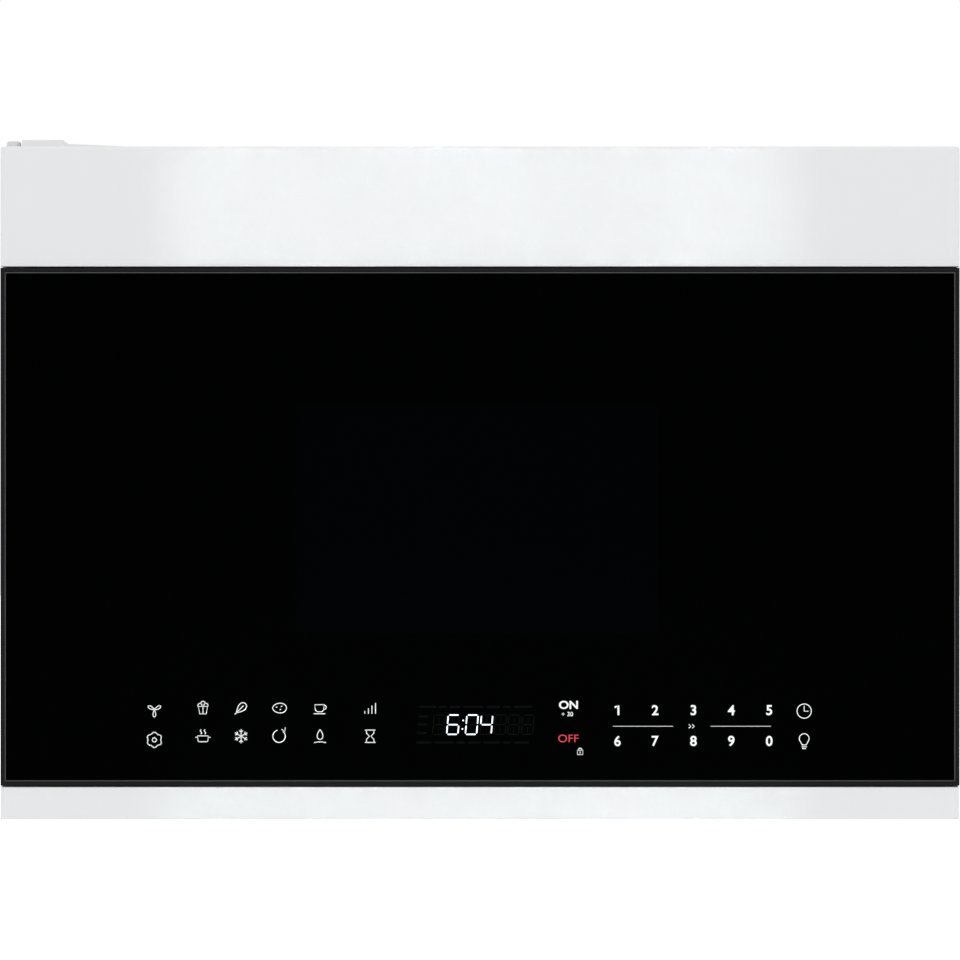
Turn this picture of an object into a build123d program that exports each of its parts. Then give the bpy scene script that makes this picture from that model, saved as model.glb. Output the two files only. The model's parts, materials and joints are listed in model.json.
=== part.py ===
"""Over the range microwave oven, 24 inch wide, with a full-width glass door hinged at its left edge.

Frame: +X to the right seen from the room, +Y towards the wall, +Z up. Millimetres.
The origin is the middle of the base, halfway between the door's glass and the wall.
"""

from build123d import *
import math
import os

# ---------------------------------------------------------------- driving sizes: cabinet
body_width = 606.4
body_height = 425.5
body_depth = 400.0
sheet = 1.0  # cabinet, cavity and bracket sheet steel
wrapper_corner = 4.0
top_band_height = 76.0  # white vent cover above the door
bottom_band_height = 20.5  # white trim below the door
band_wall = 2.2
band_setback = 1.0  # bands stand this far behind the glass face
flange_length = 12.0
seat_gap = 0.3  # small play between a loose piece and its seat
side_screw_end = 61.5  # first and last case screw, from the base and the top
screw_radius = 1.9
screw_hole_radius = 2.0
screw_head_radius = 4.0
screw_head_height = 2.0
screw_length = 8.0

# ---------------------------------------------------------------- driving sizes: wall plate
plate_thickness = 1.5
plate_standoff = 4.0  # rear panel to wall
plate_side_gap = 33.2  # cabinet side to the plate's edge
plate_bottom = 24.0
plate_top = 300.0
stud_spacing = 406.4  # 16 inch wall studs
wall_hole_radius = 4.2
wall_hole_low = 62.0
wall_hole_high = 262.0
wall_screw_clearance = 15.0
plate_window_width = 320.0
plate_window_height = 120.0
hook_spacing = 300.0
hook_width = 34.0
hook_thickness = 2.0
hook_lip = 9.0
slot_play = 0.5
pad_inset = 25.0
pad_zs = (90.0, 230.0)
pad_radius = 10.0

# ---------------------------------------------------------------- driving sizes: oven cavity
side_bay = 100.2  # clear width left and right of the oven
top_bay = 109.5  # clear height above the oven
rear_bay = 15.0  # oven's back to the rear panel
cavity_floor = 78.0
cavity_corner = 14.0
shaft_hole_radius = 6.0
port_depth = 78.0  # waveguide port, along Y
port_height = 34.0
port_middle_y = 30.0
port_middle_z = 205.0
vent_hole_radius = 2.2
vent_hole_pitch = 8.0
vent_hole_columns = 6
vent_hole_rows = 4
lamp_hole_back = 60.0  # behind the face plate
lamp_hole_drop = 45.0  # below the oven's roof
mica_margin = 9.0

# ---------------------------------------------------------------- driving sizes: door
door_thickness = 42.0
door_back_gap = 1.0
door_clear = 0.8  # gap to the bands above and below
hinge_edge_radius = 14.0  # round rear edge, about the hinge axis
door_side_wall = 27.0
door_rim_wall = 4.0
glass_thickness = 4.0
glass_border = 2.4  # dark frame seen round the glass
glass_recess = 0.3
glass_gap = 0.2
ledge_width = 10.0
ledge_thickness = 2.0
grip_depth = 16.0
grip_lip = 14.0
grip_length = 160.0
window_width = 226.0
window_rise = 40.5  # above the oven's floor
window_drop = 52.0  # below the oven's roof
choke_width = 20.0
choke_depth = 24.0
choke_overlap = 4.0
cover_thickness = 1.5
screen_thickness = 0.6
pane_thickness = 1.0
pane_margin = 12.0
pane_corner = 6.0
screen_margin = 8.0
screen_pitch = 11.2
screen_hole_radius = 3.6
glass_chamfer = 0.8
frame_front_radius = 1.2
boss_radius = 6.0

# ---------------------------------------------------------------- driving sizes: hinges and latch
pin_radius = 3.5
pin_bore_clearance = 0.05
pin_engagement = 12.0
leaf_thickness = 2.5
leaf_length = 38.0
leaf_drop = 11.0
pin_hole_clearance = 1.5
latch_inset = 52.2  # from the cabinet's right side
latch_bar_width = 10.0
latch_bar_depth = 12.0
latch_bar_low = 126.0
latch_bar_high = 256.0
latch_travel = 5.0
hook_low_z = 150.0
hook_high_z = 232.0
arm_height = 8.0
arm_width = 10.0
arm_reach = 30.0  # past the face plate
barb_drop = 4.0
barb_length = 8.0
latch_play = 2.0
guide_zs = (178.0, 206.0)
guide_length = 10.0
guide_sheet = 1.5
spring_length = 19.0
spring_radius = 3.6
spring_wire_radius = 0.5
spring_pitch = 2.6
spring_peg_radius = 2.4
spring_peg_height = 4.0
latch_board_depth = 46.0
latch_board_width = 44.0
catch_rise = 2.0
catch_length = 3.0
catch_height = 5.0
board_margin_low = 32.0
board_margin_high = 18.0
board_wall = 3.0
board_recess = 16.0
switch_length = 20.0
switch_height = 15.0
switch_width = 5.6
plunger_radius = 1.3
plunger_out = 2.4  # stands out this far when pressed by the hook
plunger_length = 8.0
plunger_bore = 6.0

# ---------------------------------------------------------------- driving sizes: turntable
tray_wall_gap = 10.5  # tray's edge to the oven's back
tray_thickness = 5.0
tray_rim_height = 11.0
tray_rim_width = 6.0
roller_radius = 8.0
roller_width = 6.0
roller_track_radius = 100.0
roller_gap = 0.05
roller_play = 0.4  # sideways, to the ring
axle_end = 0.8
axle_radius = 1.8
ring_tube_radius = 2.6
coupler_radius = 9.0
coupler_lobe_radius = 5.0
motor_radius = 25.0
motor_height = 18.0
motor_shaft_radius = 3.0
motor_bore_depth = 7.0
coupler_lobes = 3
coupler_floor_gap = 1.0
lug_circle_radius = 13.5
lug_radius = 3.0
lug_angle = 35.0  # each lug rests against a lobe
lug_height = 5.0
ring_width = 8.0
roller_count = 3
roller_chamfer = 0.8

# ---------------------------------------------------------------- driving sizes: base
filter_width = 130.0
filter_depth = 200.0
filter_side_gap = 178.2  # cabinet side to a filter's middle
filter_lamp_spacing = 132.0
filter_thickness = 8.0
filter_frame = 9.0
filter_clearance = 0.1
filter_lift = 1.0
mesh_pitch = 12.0
mesh_hole = 9.0
lamp_width = 90.0
lamp_depth = 46.0
lamp_back = 35.0  # behind the face plate
lamp_cover_thickness = 2.0

# ---------------------------------------------------------------- driving sizes: top
duct_width = 254.0  # 10 inch duct collar
duct_depth = 82.5  # 3 1/4 inch
duct_height = 12.0
duct_back = 62.0  # duct's middle to the wall
duct_wall = 1.2
duct_flange = 11.0
flap_thickness = 1.2
flap_clearance = 1.2
flap_pin_radius = 1.5
bolt_spacing = 460.0
bolt_middle_y = -60.0
bolt_hole_radius = 2.6  # 1/4 inch thread
bolt_clearance_radius = 4.0
bolt_nut_height = 6.0
bolt_nut_flats = 11.0
flap_low = 4.0  # above the roof
flap_axis_inset = 5.0
bolt_plate_side = 30.0
outlet_left = 11.1  # cord outlet block, from the cabinet's left side
outlet_width = 26.8
outlet_depth = 60.0
outlet_height = 5.8
outlet_front = 2.0  # behind the vent cover
outlet_tail = 39.0
outlet_tail_rise = 3.4
outlet_tail_end = 1.8
gland_left = 5.7  # from the cabinet's left side
gland_back = 8.0  # behind the face plate
gland_radius = 4.6
gland_bore_radius = 3.0
gland_neck_radius = 4.0
gland_height = 5.2
gland_neck_length = 7.0
vent_slot_length = 34.0
vent_slot_width = 3.5
vent_slot_count = 14
vent_slot_rows = 3
vent_slot_pitch = 9.0
vent_opening_margin = 87.2  # at each side
vent_opening_height = 52.0
vent_opening_drop = 63.5  # its lower edge, below the top
charcoal_thickness = 15.0
charcoal_cell_width = 16.0
charcoal_cell_height = 14.0
charcoal_rows = 3
charcoal_rib = 4.0

# ---------------------------------------------------------------- driving sizes: blower and fan
wheel_radius = 40.0
wheel_width = 58.0
wheel_blades = 24
wheel_blade_length = 9.0
wheel_wall = 1.5
blower_motor_radius = 34.0
blower_motor_length = 64.0
blower_shaft_radius = 4.0
blower_gap = 5.0
blower_drop = 57.5  # shaft below the top
scroll_radius = 47.0
scroll_wall = 1.5
inlet_radius = 32.0
foot_depth = 60.0
cradle_rise = 5.0
motor_chamfer = 3.0
blade_angle = 25.0
ring_band = 4.0
hub_length = 18.0
fan_frame = 88.0
fan_depth = 28.0
fan_radius = 38.0
fan_hub_radius = 12.0
fan_blades = 7
fan_middle_z = 205.0
fan_shaft_radius = 2.0
fan_foot_length = 8.0
fan_motor_depth = 12.0
fan_wheel_depth = 12.0
fan_pitch = 55.0
blade_span = 25.0
blade_chord = 13.0

# ---------------------------------------------------------------- driving sizes: high voltage parts
guide_depth = 22.0
guide_wall = 1.2
guide_margin = 12.0
magnetron_depth = 84.0
magnetron_height = 72.0
magnetron_yoke = 46.0
magnetron_core_radius = 20.0
magnetron_box = 24.0
magnetron_box_side = 36.0
magnetron_fins = 7
antenna_radius = 7.0
antenna_length = 16.0
transformer_width = 86.0
transformer_depth = 70.0
transformer_height = 70.0
transformer_foot = 2.0
transformer_back = 95.0  # middle to the rear panel
core_leg = 12.0
coil_overhang = 8.0
capacitor_width = 54.0
capacitor_height = 34.0
capacitor_length = 84.0
capacitor_middle_y = -8.0
strap_width = 14.0
blade_width = 6.3
blade_thickness = 0.8
blade_length = 14.0
blade_spacing = 24.0
diode_radius = 3.0
diode_length = 16.0
lead_radius = 0.6
board_thickness = 1.6
standoff_length = 6.0
standoff_radius = 3.0
standoff_inset = 5.0
power_board_back = 53.0  # behind the face plate
power_board_length = 80.0
power_board_drop = 6.0  # below the oven's roof
power_board_height = 68.0
relay_size = (19.0, 15.0, 16.0)  # along Y, along Z, and off the board
relay_backs = (12.0, 34.0, 56.0)
relay_drop = 12.0
supply_size = (30.0, 26.0, 22.0)
supply_back = 60.0
supply_drop = 44.0
noise_board_back = 37.0  # behind the face plate
noise_board_length = 80.0
noise_board_drop = 25.5  # below the top
noise_board_height = 70.0
choke_coil_radius = 12.0
choke_coil_tube = 4.0
noise_box_size = (26.0, 16.0, 14.0)
cutout_radius = 9.0
cutout_height = 7.0
cutout_side = 52.0  # from the oven's side
cutout_back = 97.0  # behind the face plate
cutout_wall = (40.0, 200.0)
lamp_box_depth = 34.0
lamp_box_height = 44.0
lamp_box_width = 60.0
bulb_radius = 10.0
bulb_base_radius = 6.0
led_radius = 11.0
led_height = 4.0
lamp_housing_height = 26.0
lamp_housing_margin = 12.0
lamp_lip = 4.0

# ---------------------------------------------------------------- driving sizes: touch board and display
touch_side_gap = 77.2
touch_low = 34.0
touch_high = 84.0
display_width = 80.0
display_height = 26.0
display_middle_x = -4.0
display_middle_z = 60.0
display_depth = 7.0
chip_xs = (-140.0, -90.0, 90.0, 140.0)
chip_side = 9.0
chip_height = 1.4

# ---------------------------------------------------------------- places worked out from the sizes
half_width = body_width / 2
inner_x = half_width - sheet
front_y = -body_depth / 2
wall_y = body_depth / 2
band_front_y = front_y + band_setback
door_back_y = front_y + door_thickness
face_y = door_back_y + door_back_gap
rear_y = wall_y - plate_standoff
rear_inner_y = rear_y - sheet
roof_z = body_height - sheet
door_low = bottom_band_height + door_clear
door_high = body_height - top_band_height - door_clear
hinge_x = -half_width + hinge_edge_radius
hinge_y = door_back_y - hinge_edge_radius
cavity_out_x = inner_x - side_bay + sheet
cavity_x = cavity_out_x - sheet
cavity_width = 2 * cavity_x
cavity_roof = roof_z - top_bay - sheet
cavity_height = cavity_roof - cavity_floor
cavity_depth = rear_inner_y - rear_bay - sheet - face_y
cavity_under = cavity_floor - sheet
lamp_hole_y = face_y + lamp_hole_back
lamp_hole_z = cavity_roof - lamp_hole_drop
window_low = cavity_floor + window_rise
window_high = cavity_roof - window_drop
grip_low = (door_low + door_high - grip_length) / 2
grip_high = grip_low + grip_length
latch_x = half_width - latch_inset
tray_radius = cavity_depth / 2 - tray_wall_gap
lamp_middle_y = face_y + lamp_back
filter_middle_x = half_width - filter_side_gap
filter_middle_y = lamp_middle_y + filter_lamp_spacing
duct_middle_y = wall_y - duct_back
blower_middle_y = duct_middle_y
blower_middle_z = body_height - blower_drop
vent_opening_width = body_width - 2 * vent_opening_margin
vent_opening_low = body_height - vent_opening_drop
plate_width = body_width - 2 * plate_side_gap
touch_width = body_width - 2 * touch_side_gap
duct_front_y = duct_middle_y - duct_depth / 2
duct_rear_y = duct_middle_y + duct_depth / 2


def plane_at_x(x):
    """The Y-Z plane at x, facing +X."""
    return Plane.YZ.offset(x)


def plane_at_y(y):
    """The X-Z plane at y, facing -Y: a negative extrusion runs towards the wall."""
    return Plane.XZ.offset(-y)


def plane_at_z(z):
    """The X-Y plane at z, facing up."""
    return Plane.XY.offset(z)


def slab(x, y, z, mode=Mode.ADD):
    """A box between its (low, high) limits along each axis, in the part being built."""
    middle = ((x[0] + x[1]) / 2, (y[0] + y[1]) / 2, (z[0] + z[1]) / 2)
    with Locations(middle):
        Box(x[1] - x[0], y[1] - y[0], z[1] - z[0], mode=mode)


def closing_sheet(y, low, high):
    """A sheet across the wrapper's inside, from y towards the wall, with its round top corners."""
    with BuildSketch(plane_at_y(y)) as outline:
        with Locations((0, (low + high) / 2)):
            Rectangle(2 * inner_x, high - low)
        fillet(outline.vertices().group_by(Axis.Y)[-1], radius=wrapper_corner)
    extrude(outline.sketch, amount=-sheet)


def rod(start, axis, radius, length, mode=Mode.ADD):
    """A cylinder from start along axis, "X", "Y" or "Z"; a negative length runs backwards."""
    turn = {"X": (0, 90, 0), "Y": (-90, 0, 0), "Z": (0, 0, 0)}[axis]
    step = {"X": (1, 0, 0), "Y": (0, 1, 0), "Z": (0, 0, 1)}[axis]
    middle = [s + d * length / 2 for s, d in zip(start, step)]
    with Locations(Location(middle, turn)):
        Cylinder(radius, abs(length), mode=mode)


def hole(start, axis, radius, length):
    """A round hole, placed as rod places a cylinder."""
    rod(start, axis, radius, length, Mode.SUBTRACT)


os.makedirs("parts", exist_ok=True)


def keep(builder, name):
    """Labels a finished piece and writes it to its file."""
    builder.part.label = name
    export_step(builder.part, f"parts/{name}.step")


gland = (-half_width + gland_left, face_y + gland_back, body_height)

# ============================================================ cabinet shell
side_screw_z = (side_screw_end, body_height / 2, body_height - side_screw_end)
rear_screw_x = inner_x - flange_length / 2
rear_flange_z = (2 * flange_length, roof_z - 2 * flange_length)

with BuildPart() as outer_wrapper:
    with BuildSketch(plane_at_y(face_y)):
        with BuildLine():
            FilletPolyline(
                (-half_width, 0), (-half_width, body_height), (half_width, body_height), (half_width, 0),
                radius=wrapper_corner,
            )
            offset(amount=sheet, side=Side.RIGHT)
        make_face()
    extrude(amount=-(rear_y - face_y))
    # duct hole, bolt holes and the cord's hole in the roof
    roof = (roof_z - sheet, body_height + sheet)
    inset = duct_wall + flap_clearance
    slab(
        (-duct_width / 2 + inset, duct_width / 2 - inset),
        (duct_front_y + inset, duct_rear_y - inset),
        roof,
        Mode.SUBTRACT,
    )
    gland_hole = gland_neck_radius + pin_bore_clearance
    hole((gland[0], gland[1], roof[0]), "Z", gland_hole, 3 * sheet)
    for side in (-1, 1):
        hole((side * bolt_spacing / 2, bolt_middle_y, roof[0]), "Z", bolt_clearance_radius, 3 * sheet)
        # rear flange that the rear panel is screwed to
        flange_x = sorted((side * inner_x, side * (inner_x - flange_length)))
        slab(flange_x, (rear_inner_y - sheet, rear_inner_y), rear_flange_z)
        for z in side_screw_z:
            hole((side * rear_screw_x, rear_inner_y - 2 * sheet, z), "Y", screw_hole_radius, 3 * sheet)
keep(outer_wrapper, "outer_wrapper")

with BuildPart() as rear_panel:
    closing_sheet(rear_inner_y, 0, roof_z)
    for side in (-1, 1):
        for z in side_screw_z:
            hole((side * rear_screw_x, rear_inner_y - sheet, z), "Y", screw_hole_radius, 3 * sheet)
        # slot for a wall plate hook
        hook_x = side * hook_spacing / 2
        slab(
            (hook_x - hook_width / 2 - slot_play, hook_x + hook_width / 2 + slot_play),
            (rear_inner_y - sheet, rear_y + sheet),
            (plate_bottom - hook_lip - slot_play, plate_bottom + hook_thickness),
            Mode.SUBTRACT,
        )
        for z in (wall_hole_low, wall_hole_high):
            hole((side * stud_spacing / 2, rear_inner_y - sheet, z), "Y", wall_screw_clearance, 3 * sheet)
keep(rear_panel, "rear_panel")

with BuildPart() as base_pan:
    slab((-inner_x, inner_x), (face_y, rear_inner_y), (0, sheet))
    for side in (-1, 1):
        flange_x = sorted((side * inner_x, side * (inner_x - sheet)))
        slab(flange_x, (face_y + sheet, rear_inner_y - sheet), (sheet, sheet + flange_length))
        # collar round each grease filter
        middle = (side * filter_middle_x, filter_middle_y)
        outer = filter_clearance + sheet
        collar_z = (sheet, sheet + filter_thickness)
        collar_x = (middle[0] - filter_width / 2 - outer, middle[0] + filter_width / 2 + outer)
        collar_y = (middle[1] - filter_depth / 2 - outer, middle[1] + filter_depth / 2 + outer)
        slab(collar_x, collar_y, collar_z)
        slab(
            (collar_x[0] + sheet, collar_x[1] - sheet),
            (collar_y[0] + sheet, collar_y[1] - sheet),
            (-sheet, collar_z[1] + sheet),
            Mode.SUBTRACT,
        )
    slab(
        (-lamp_width / 2, lamp_width / 2),
        (lamp_middle_y - lamp_depth / 2, lamp_middle_y + lamp_depth / 2),
        (-sheet, 2 * sheet),
        Mode.SUBTRACT,
    )
keep(base_pan, "base_pan")

with BuildPart() as case_screws:
    for side in (-1, 1):
        for z in side_screw_z:
            head = (side * rear_screw_x, rear_y, z)
            rod(head, "Y", screw_head_radius, screw_head_height)
            rod(head, "Y", screw_radius, -screw_length)
keep(case_screws, "case_screws")

# ============================================================ front bands
leaf_low_z = bottom_band_height - band_wall - leaf_thickness
leaf_high_z = body_height - top_band_height + band_wall
pin_room = pin_radius + pin_hole_clearance

with BuildPart() as vent_cover:
    cover_z = (body_height - top_band_height, body_height)
    slab((-half_width, half_width), (band_front_y, face_y), cover_z)
    fillet(vent_cover.edges().filter_by(Axis.Z).group_by(Axis.Y)[0], radius=band_wall)
    fillet(vent_cover.edges().filter_by(Axis.X).group_by(Axis.Y)[0].sort_by(Axis.Z)[-1], radius=band_wall)
    slab(
        (-half_width + band_wall, half_width - band_wall),
        (band_front_y + band_wall, face_y + sheet),
        (cover_z[0] + band_wall, cover_z[1] - band_wall),
        Mode.SUBTRACT,
    )
    # rows of outlet slots in the top face
    slot_field_y = band_front_y + 20.0
    slot_step = (body_width - 2 * flange_length - vent_slot_length) / (vent_slot_count - 1)
    with BuildSketch(plane_at_z(cover_z[1])):
        with Locations((0, slot_field_y)):
            with GridLocations(slot_step, vent_slot_pitch, vent_slot_count, vent_slot_rows):
                SlotOverall(vent_slot_length, vent_slot_width)
    extrude(amount=-2 * band_wall, mode=Mode.SUBTRACT)
    hole((hinge_x, hinge_y, cover_z[0] - sheet), "Z", pin_room, band_wall + 2 * sheet)
keep(vent_cover, "vent_cover")

with BuildPart() as bottom_trim:
    slab((-half_width, half_width), (band_front_y, face_y), (0, bottom_band_height))
    fillet(bottom_trim.edges().filter_by(Axis.Z).group_by(Axis.Y)[0], radius=band_wall)
    slab(
        (-half_width + band_wall, half_width - band_wall),
        (band_front_y + band_wall, face_y + sheet),
        (band_wall, bottom_band_height - band_wall),
        Mode.SUBTRACT,
    )
    hole((hinge_x, hinge_y, bottom_band_height + sheet), "Z", pin_room, -(band_wall + 2 * sheet))
keep(bottom_trim, "bottom_trim")

with BuildPart() as charcoal_filter:
    filter_x = vent_opening_width / 2 - seat_gap
    charcoal_columns = int(vent_opening_width // charcoal_cell_width) - 1
    charcoal_z = (vent_opening_low, vent_opening_low + vent_opening_height - seat_gap)
    slab((-filter_x, filter_x), (face_y, face_y + charcoal_thickness), charcoal_z)
    with BuildSketch(plane_at_y(face_y)):
        with Locations((0, sum(charcoal_z) / 2)):
            with GridLocations(charcoal_cell_width, charcoal_cell_height, charcoal_columns, charcoal_rows):
                RectangleRounded(
                    charcoal_cell_width - charcoal_rib, charcoal_cell_height - charcoal_rib, sheet,
                )
    extrude(amount=-charcoal_rib / 2, mode=Mode.SUBTRACT)
keep(charcoal_filter, "charcoal_filter")

# ============================================================ oven cavity and its turntable
face_low_z = sheet
slot_x = (latch_x - arm_width / 2 - latch_play, latch_x + arm_width / 2 + latch_play)

with BuildPart() as oven_cavity:
    closing_sheet(face_y, face_low_z, roof_z)
    with BuildSketch(plane_at_y(face_y)):
        with Locations((0, cavity_floor + cavity_height / 2)):
            RectangleRounded(cavity_width + 2 * sheet, cavity_height + 2 * sheet, cavity_corner + sheet)
    extrude(amount=-(cavity_depth + sheet))
    with BuildSketch(plane_at_y(face_y - sheet)):
        with Locations((0, cavity_floor + cavity_height / 2)):
            RectangleRounded(cavity_width, cavity_height, cavity_corner)
    extrude(amount=-(cavity_depth + sheet), mode=Mode.SUBTRACT)
    # way out for the hood's air, behind the vent cover
    slab(
        (-vent_opening_width / 2, vent_opening_width / 2),
        (face_y - sheet, face_y + 2 * sheet),
        (vent_opening_low, vent_opening_low + vent_opening_height),
        Mode.SUBTRACT,
    )
    slab(
        (-vent_opening_width / 2, vent_opening_width / 2),
        (face_y, face_y + charcoal_thickness),
        (vent_opening_low - sheet, vent_opening_low),
    )
    # slots for the latch hooks
    for z in (hook_low_z, hook_high_z):
        slab(
            slot_x,
            (face_y - sheet, face_y + 2 * sheet),
            (z - arm_height / 2 - barb_drop - latch_play, z + arm_height / 2 + latch_travel + latch_play),
            Mode.SUBTRACT,
        )
    # drive shaft hole, waveguide port and vent holes of the lamp and the steam outlet
    tray_y = face_y + cavity_depth / 2
    hole((0, tray_y, cavity_floor + sheet), "Z", shaft_hole_radius, -3 * sheet)
    slab(
        (cavity_x - sheet, cavity_out_x + sheet),
        (port_middle_y - port_depth / 2, port_middle_y + port_depth / 2),
        (port_middle_z - port_height / 2, port_middle_z + port_height / 2),
        Mode.SUBTRACT,
    )
    with BuildSketch(plane_at_x(-cavity_out_x - sheet)):
        with Locations((lamp_hole_y, lamp_hole_z)):
            with GridLocations(vent_hole_pitch, vent_hole_pitch, vent_hole_columns, vent_hole_rows):
                Circle(vent_hole_radius)
    extrude(amount=3 * sheet, mode=Mode.SUBTRACT)
keep(oven_cavity, "oven_cavity")

with BuildPart() as mica_cover:
    slab(
        (cavity_x - sheet / 2, cavity_x),
        (port_middle_y - port_depth / 2 - mica_margin, port_middle_y + port_depth / 2 + mica_margin),
        (port_middle_z - port_height / 2 - mica_margin, port_middle_z + port_height / 2 + mica_margin),
    )
    fillet(mica_cover.edges().filter_by(Axis.X), radius=mica_margin / 2)
keep(mica_cover, "mica_cover")

roller_middle_z = cavity_floor + roller_gap + roller_radius
tray_low = roller_middle_z + roller_radius + roller_gap
with BuildPart() as glass_tray:
    # plate with a raised rim, in section from the axis outwards
    rim_in = tray_radius - tray_rim_width - tray_rim_height / 2
    with BuildSketch(plane_at_y(tray_y)):
        with BuildLine():
            Polyline(
                (0, tray_low),
                (rim_in, tray_low),
                (tray_radius, tray_low + tray_rim_height - tray_thickness / 2),
                (tray_radius, tray_low + tray_rim_height),
                (tray_radius - tray_rim_width, tray_low + tray_rim_height),
                (rim_in - tray_thickness / 2, tray_low + tray_thickness),
                (0, tray_low + tray_thickness),
                close=True,
            )
        make_face()
    revolve(axis=Axis((0, tray_y, 0), (0, 0, 1)))
    # lugs under the plate, which the coupler's lobes push
    with BuildSketch(plane_at_z(tray_low)):
        with Locations((0, tray_y)):
            with PolarLocations(lug_circle_radius, coupler_lobes, start_angle=lug_angle):
                Circle(lug_radius)
    extrude(amount=-lug_height)
keep(glass_tray, "glass_tray")

coupler_low = cavity_floor + coupler_floor_gap
motor_top = cavity_under
with BuildPart() as turntable_coupler:
    with BuildSketch(plane_at_z(coupler_low)):
        with Locations((0, tray_y)):
            Circle(coupler_radius)
            with PolarLocations(coupler_radius, coupler_lobes):
                Circle(coupler_lobe_radius)
    extrude(amount=tray_low - coupler_low)
    shaft_low = motor_top - motor_bore_depth + seat_gap
    rod((0, tray_y, shaft_low), "Z", motor_shaft_radius, coupler_low - shaft_low)
keep(turntable_coupler, "turntable_coupler")

with BuildPart() as turntable_motor:
    rod((0, tray_y, motor_top), "Z", motor_radius, -motor_height)
    ear = motor_radius + screw_head_radius
    slab(
        (-ear, ear), (tray_y - screw_head_radius, tray_y + screw_head_radius),
        (motor_top - 2 * sheet, motor_top),
    )
    hole((0, tray_y, motor_top + sheet), "Z", motor_shaft_radius + pin_bore_clearance,
        -(motor_bore_depth + sheet))
    slab(
        (-motor_radius - sheet, -motor_radius + 4 * sheet),
        (tray_y - 2 * screw_head_radius, tray_y + 2 * screw_head_radius),
        (motor_top - motor_height, motor_top - 3 * sheet),
    )
keep(turntable_motor, "turntable_motor")

ring_outer = roller_track_radius - roller_width / 2 - roller_play
with BuildPart() as roller_ring:
    with BuildSketch(plane_at_z(roller_middle_z - ring_tube_radius)):
        with Locations((0, tray_y)):
            Circle(ring_outer)
            Circle(ring_outer - ring_width, mode=Mode.SUBTRACT)
    extrude(amount=2 * ring_tube_radius)
    fillet(roller_ring.edges(), radius=ring_tube_radius / 2)
    axle_length = ring_width / 2 + roller_width + 2 * roller_play + axle_end
    for number in range(roller_count):
        angle = 90 + number * 360 / roller_count
        outward = Vector(math.cos(math.radians(angle)), math.sin(math.radians(angle)), 0)
        start = Vector(0, tray_y, roller_middle_z) + outward * (ring_outer - ring_width / 2)
        with Locations(Plane(start, z_dir=outward)):
            Cylinder(axle_radius, axle_length, align=(Align.CENTER, Align.CENTER, Align.MIN))
keep(roller_ring, "roller_ring")

for number in range(roller_count):
    angle = 90 + number * 360 / roller_count
    outward = Vector(math.cos(math.radians(angle)), math.sin(math.radians(angle)), 0)
    middle = Vector(0, tray_y, roller_middle_z) + outward * roller_track_radius
    with BuildPart() as roller:
        with Locations(Plane(middle, z_dir=outward)):
            Cylinder(roller_radius, roller_width)
            Cylinder(axle_radius + pin_bore_clearance, 2 * roller_width, mode=Mode.SUBTRACT)
        chamfer(roller.edges().filter_by(GeomType.CIRCLE).group_by(SortBy.RADIUS)[-1], length=roller_chamfer)
    keep(roller, f"roller_{number + 1}")

# ============================================================ door
glass_front_y = front_y + glass_recess
glass_back_y = glass_front_y + glass_thickness
ledge_back_y = glass_back_y + ledge_thickness
door_inner_x = half_width - door_side_wall
door_inner_low = door_low + door_rim_wall
door_inner_high = door_high - door_rim_wall
panel_back_y = door_back_y - cover_thickness  # rear face of the choke panel's flange
panel_front_y = panel_back_y - sheet
boss_x = door_inner_x - boss_radius
boss_zs = (door_inner_low + boss_radius, door_inner_high - boss_radius)
hook_zs = (hook_low_z, hook_high_z)

with BuildPart() as door_frame:
    with BuildSketch(plane_at_z(door_low)) as plan:
        with Locations((0, (front_y + door_back_y) / 2)):
            Rectangle(body_width, door_thickness)
        fillet(plan.vertices().group_by(Axis.X)[0].sort_by(Axis.Y)[-1], radius=hinge_edge_radius)
        fillet(plan.vertices().group_by(Axis.Y)[0], radius=frame_front_radius)
    extrude(amount=door_high - door_low)
    seat_x = half_width - glass_border
    slab(
        (-seat_x, seat_x), (front_y - sheet, glass_back_y),
        (door_low + glass_border, door_high - glass_border), Mode.SUBTRACT,
    )
    ledge_z = (door_low + glass_border + ledge_width, door_high - glass_border - ledge_width)
    slab((-door_inner_x, door_inner_x), (front_y, door_back_y), ledge_z, Mode.SUBTRACT)
    slab(
        (-door_inner_x, door_inner_x), (ledge_back_y, door_back_y + sheet),
        (door_inner_low, door_inner_high), Mode.SUBTRACT,
    )
    # finger recess in the edge away from the hinge
    slab(
        (half_width - grip_depth, half_width + sheet), (front_y + grip_lip, door_back_y + sheet),
        (grip_low, grip_high), Mode.SUBTRACT,
    )
    # screw bosses in the corners
    for side in (-1, 1):
        for z in boss_zs:
            slab(sorted((side * (boss_x - boss_radius), side * door_inner_x)), (ledge_back_y, panel_front_y),
                 (z - boss_radius, z + boss_radius))
            hole((side * boss_x, panel_front_y + sheet, z), "Y", screw_radius, -screw_length - sheet)
    # hinge pin bores
    bore = pin_radius + pin_bore_clearance
    hole((hinge_x, hinge_y, door_low - sheet), "Z", bore, pin_engagement + 2 * sheet)
    hole((hinge_x, hinge_y, door_high + sheet), "Z", bore, -(pin_engagement + 2 * sheet))
keep(door_frame, "door_frame")

with BuildPart() as door_glass:
    pane_x = seat_x - glass_gap
    slab(
        (-pane_x, pane_x), (glass_front_y, glass_back_y),
        (door_low + glass_border + glass_gap, door_high - glass_border - glass_gap),
    )
    chamfer(door_glass.faces().sort_by(Axis.Y)[0].edges(), length=glass_chamfer)
keep(door_glass, "door_glass")

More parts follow.
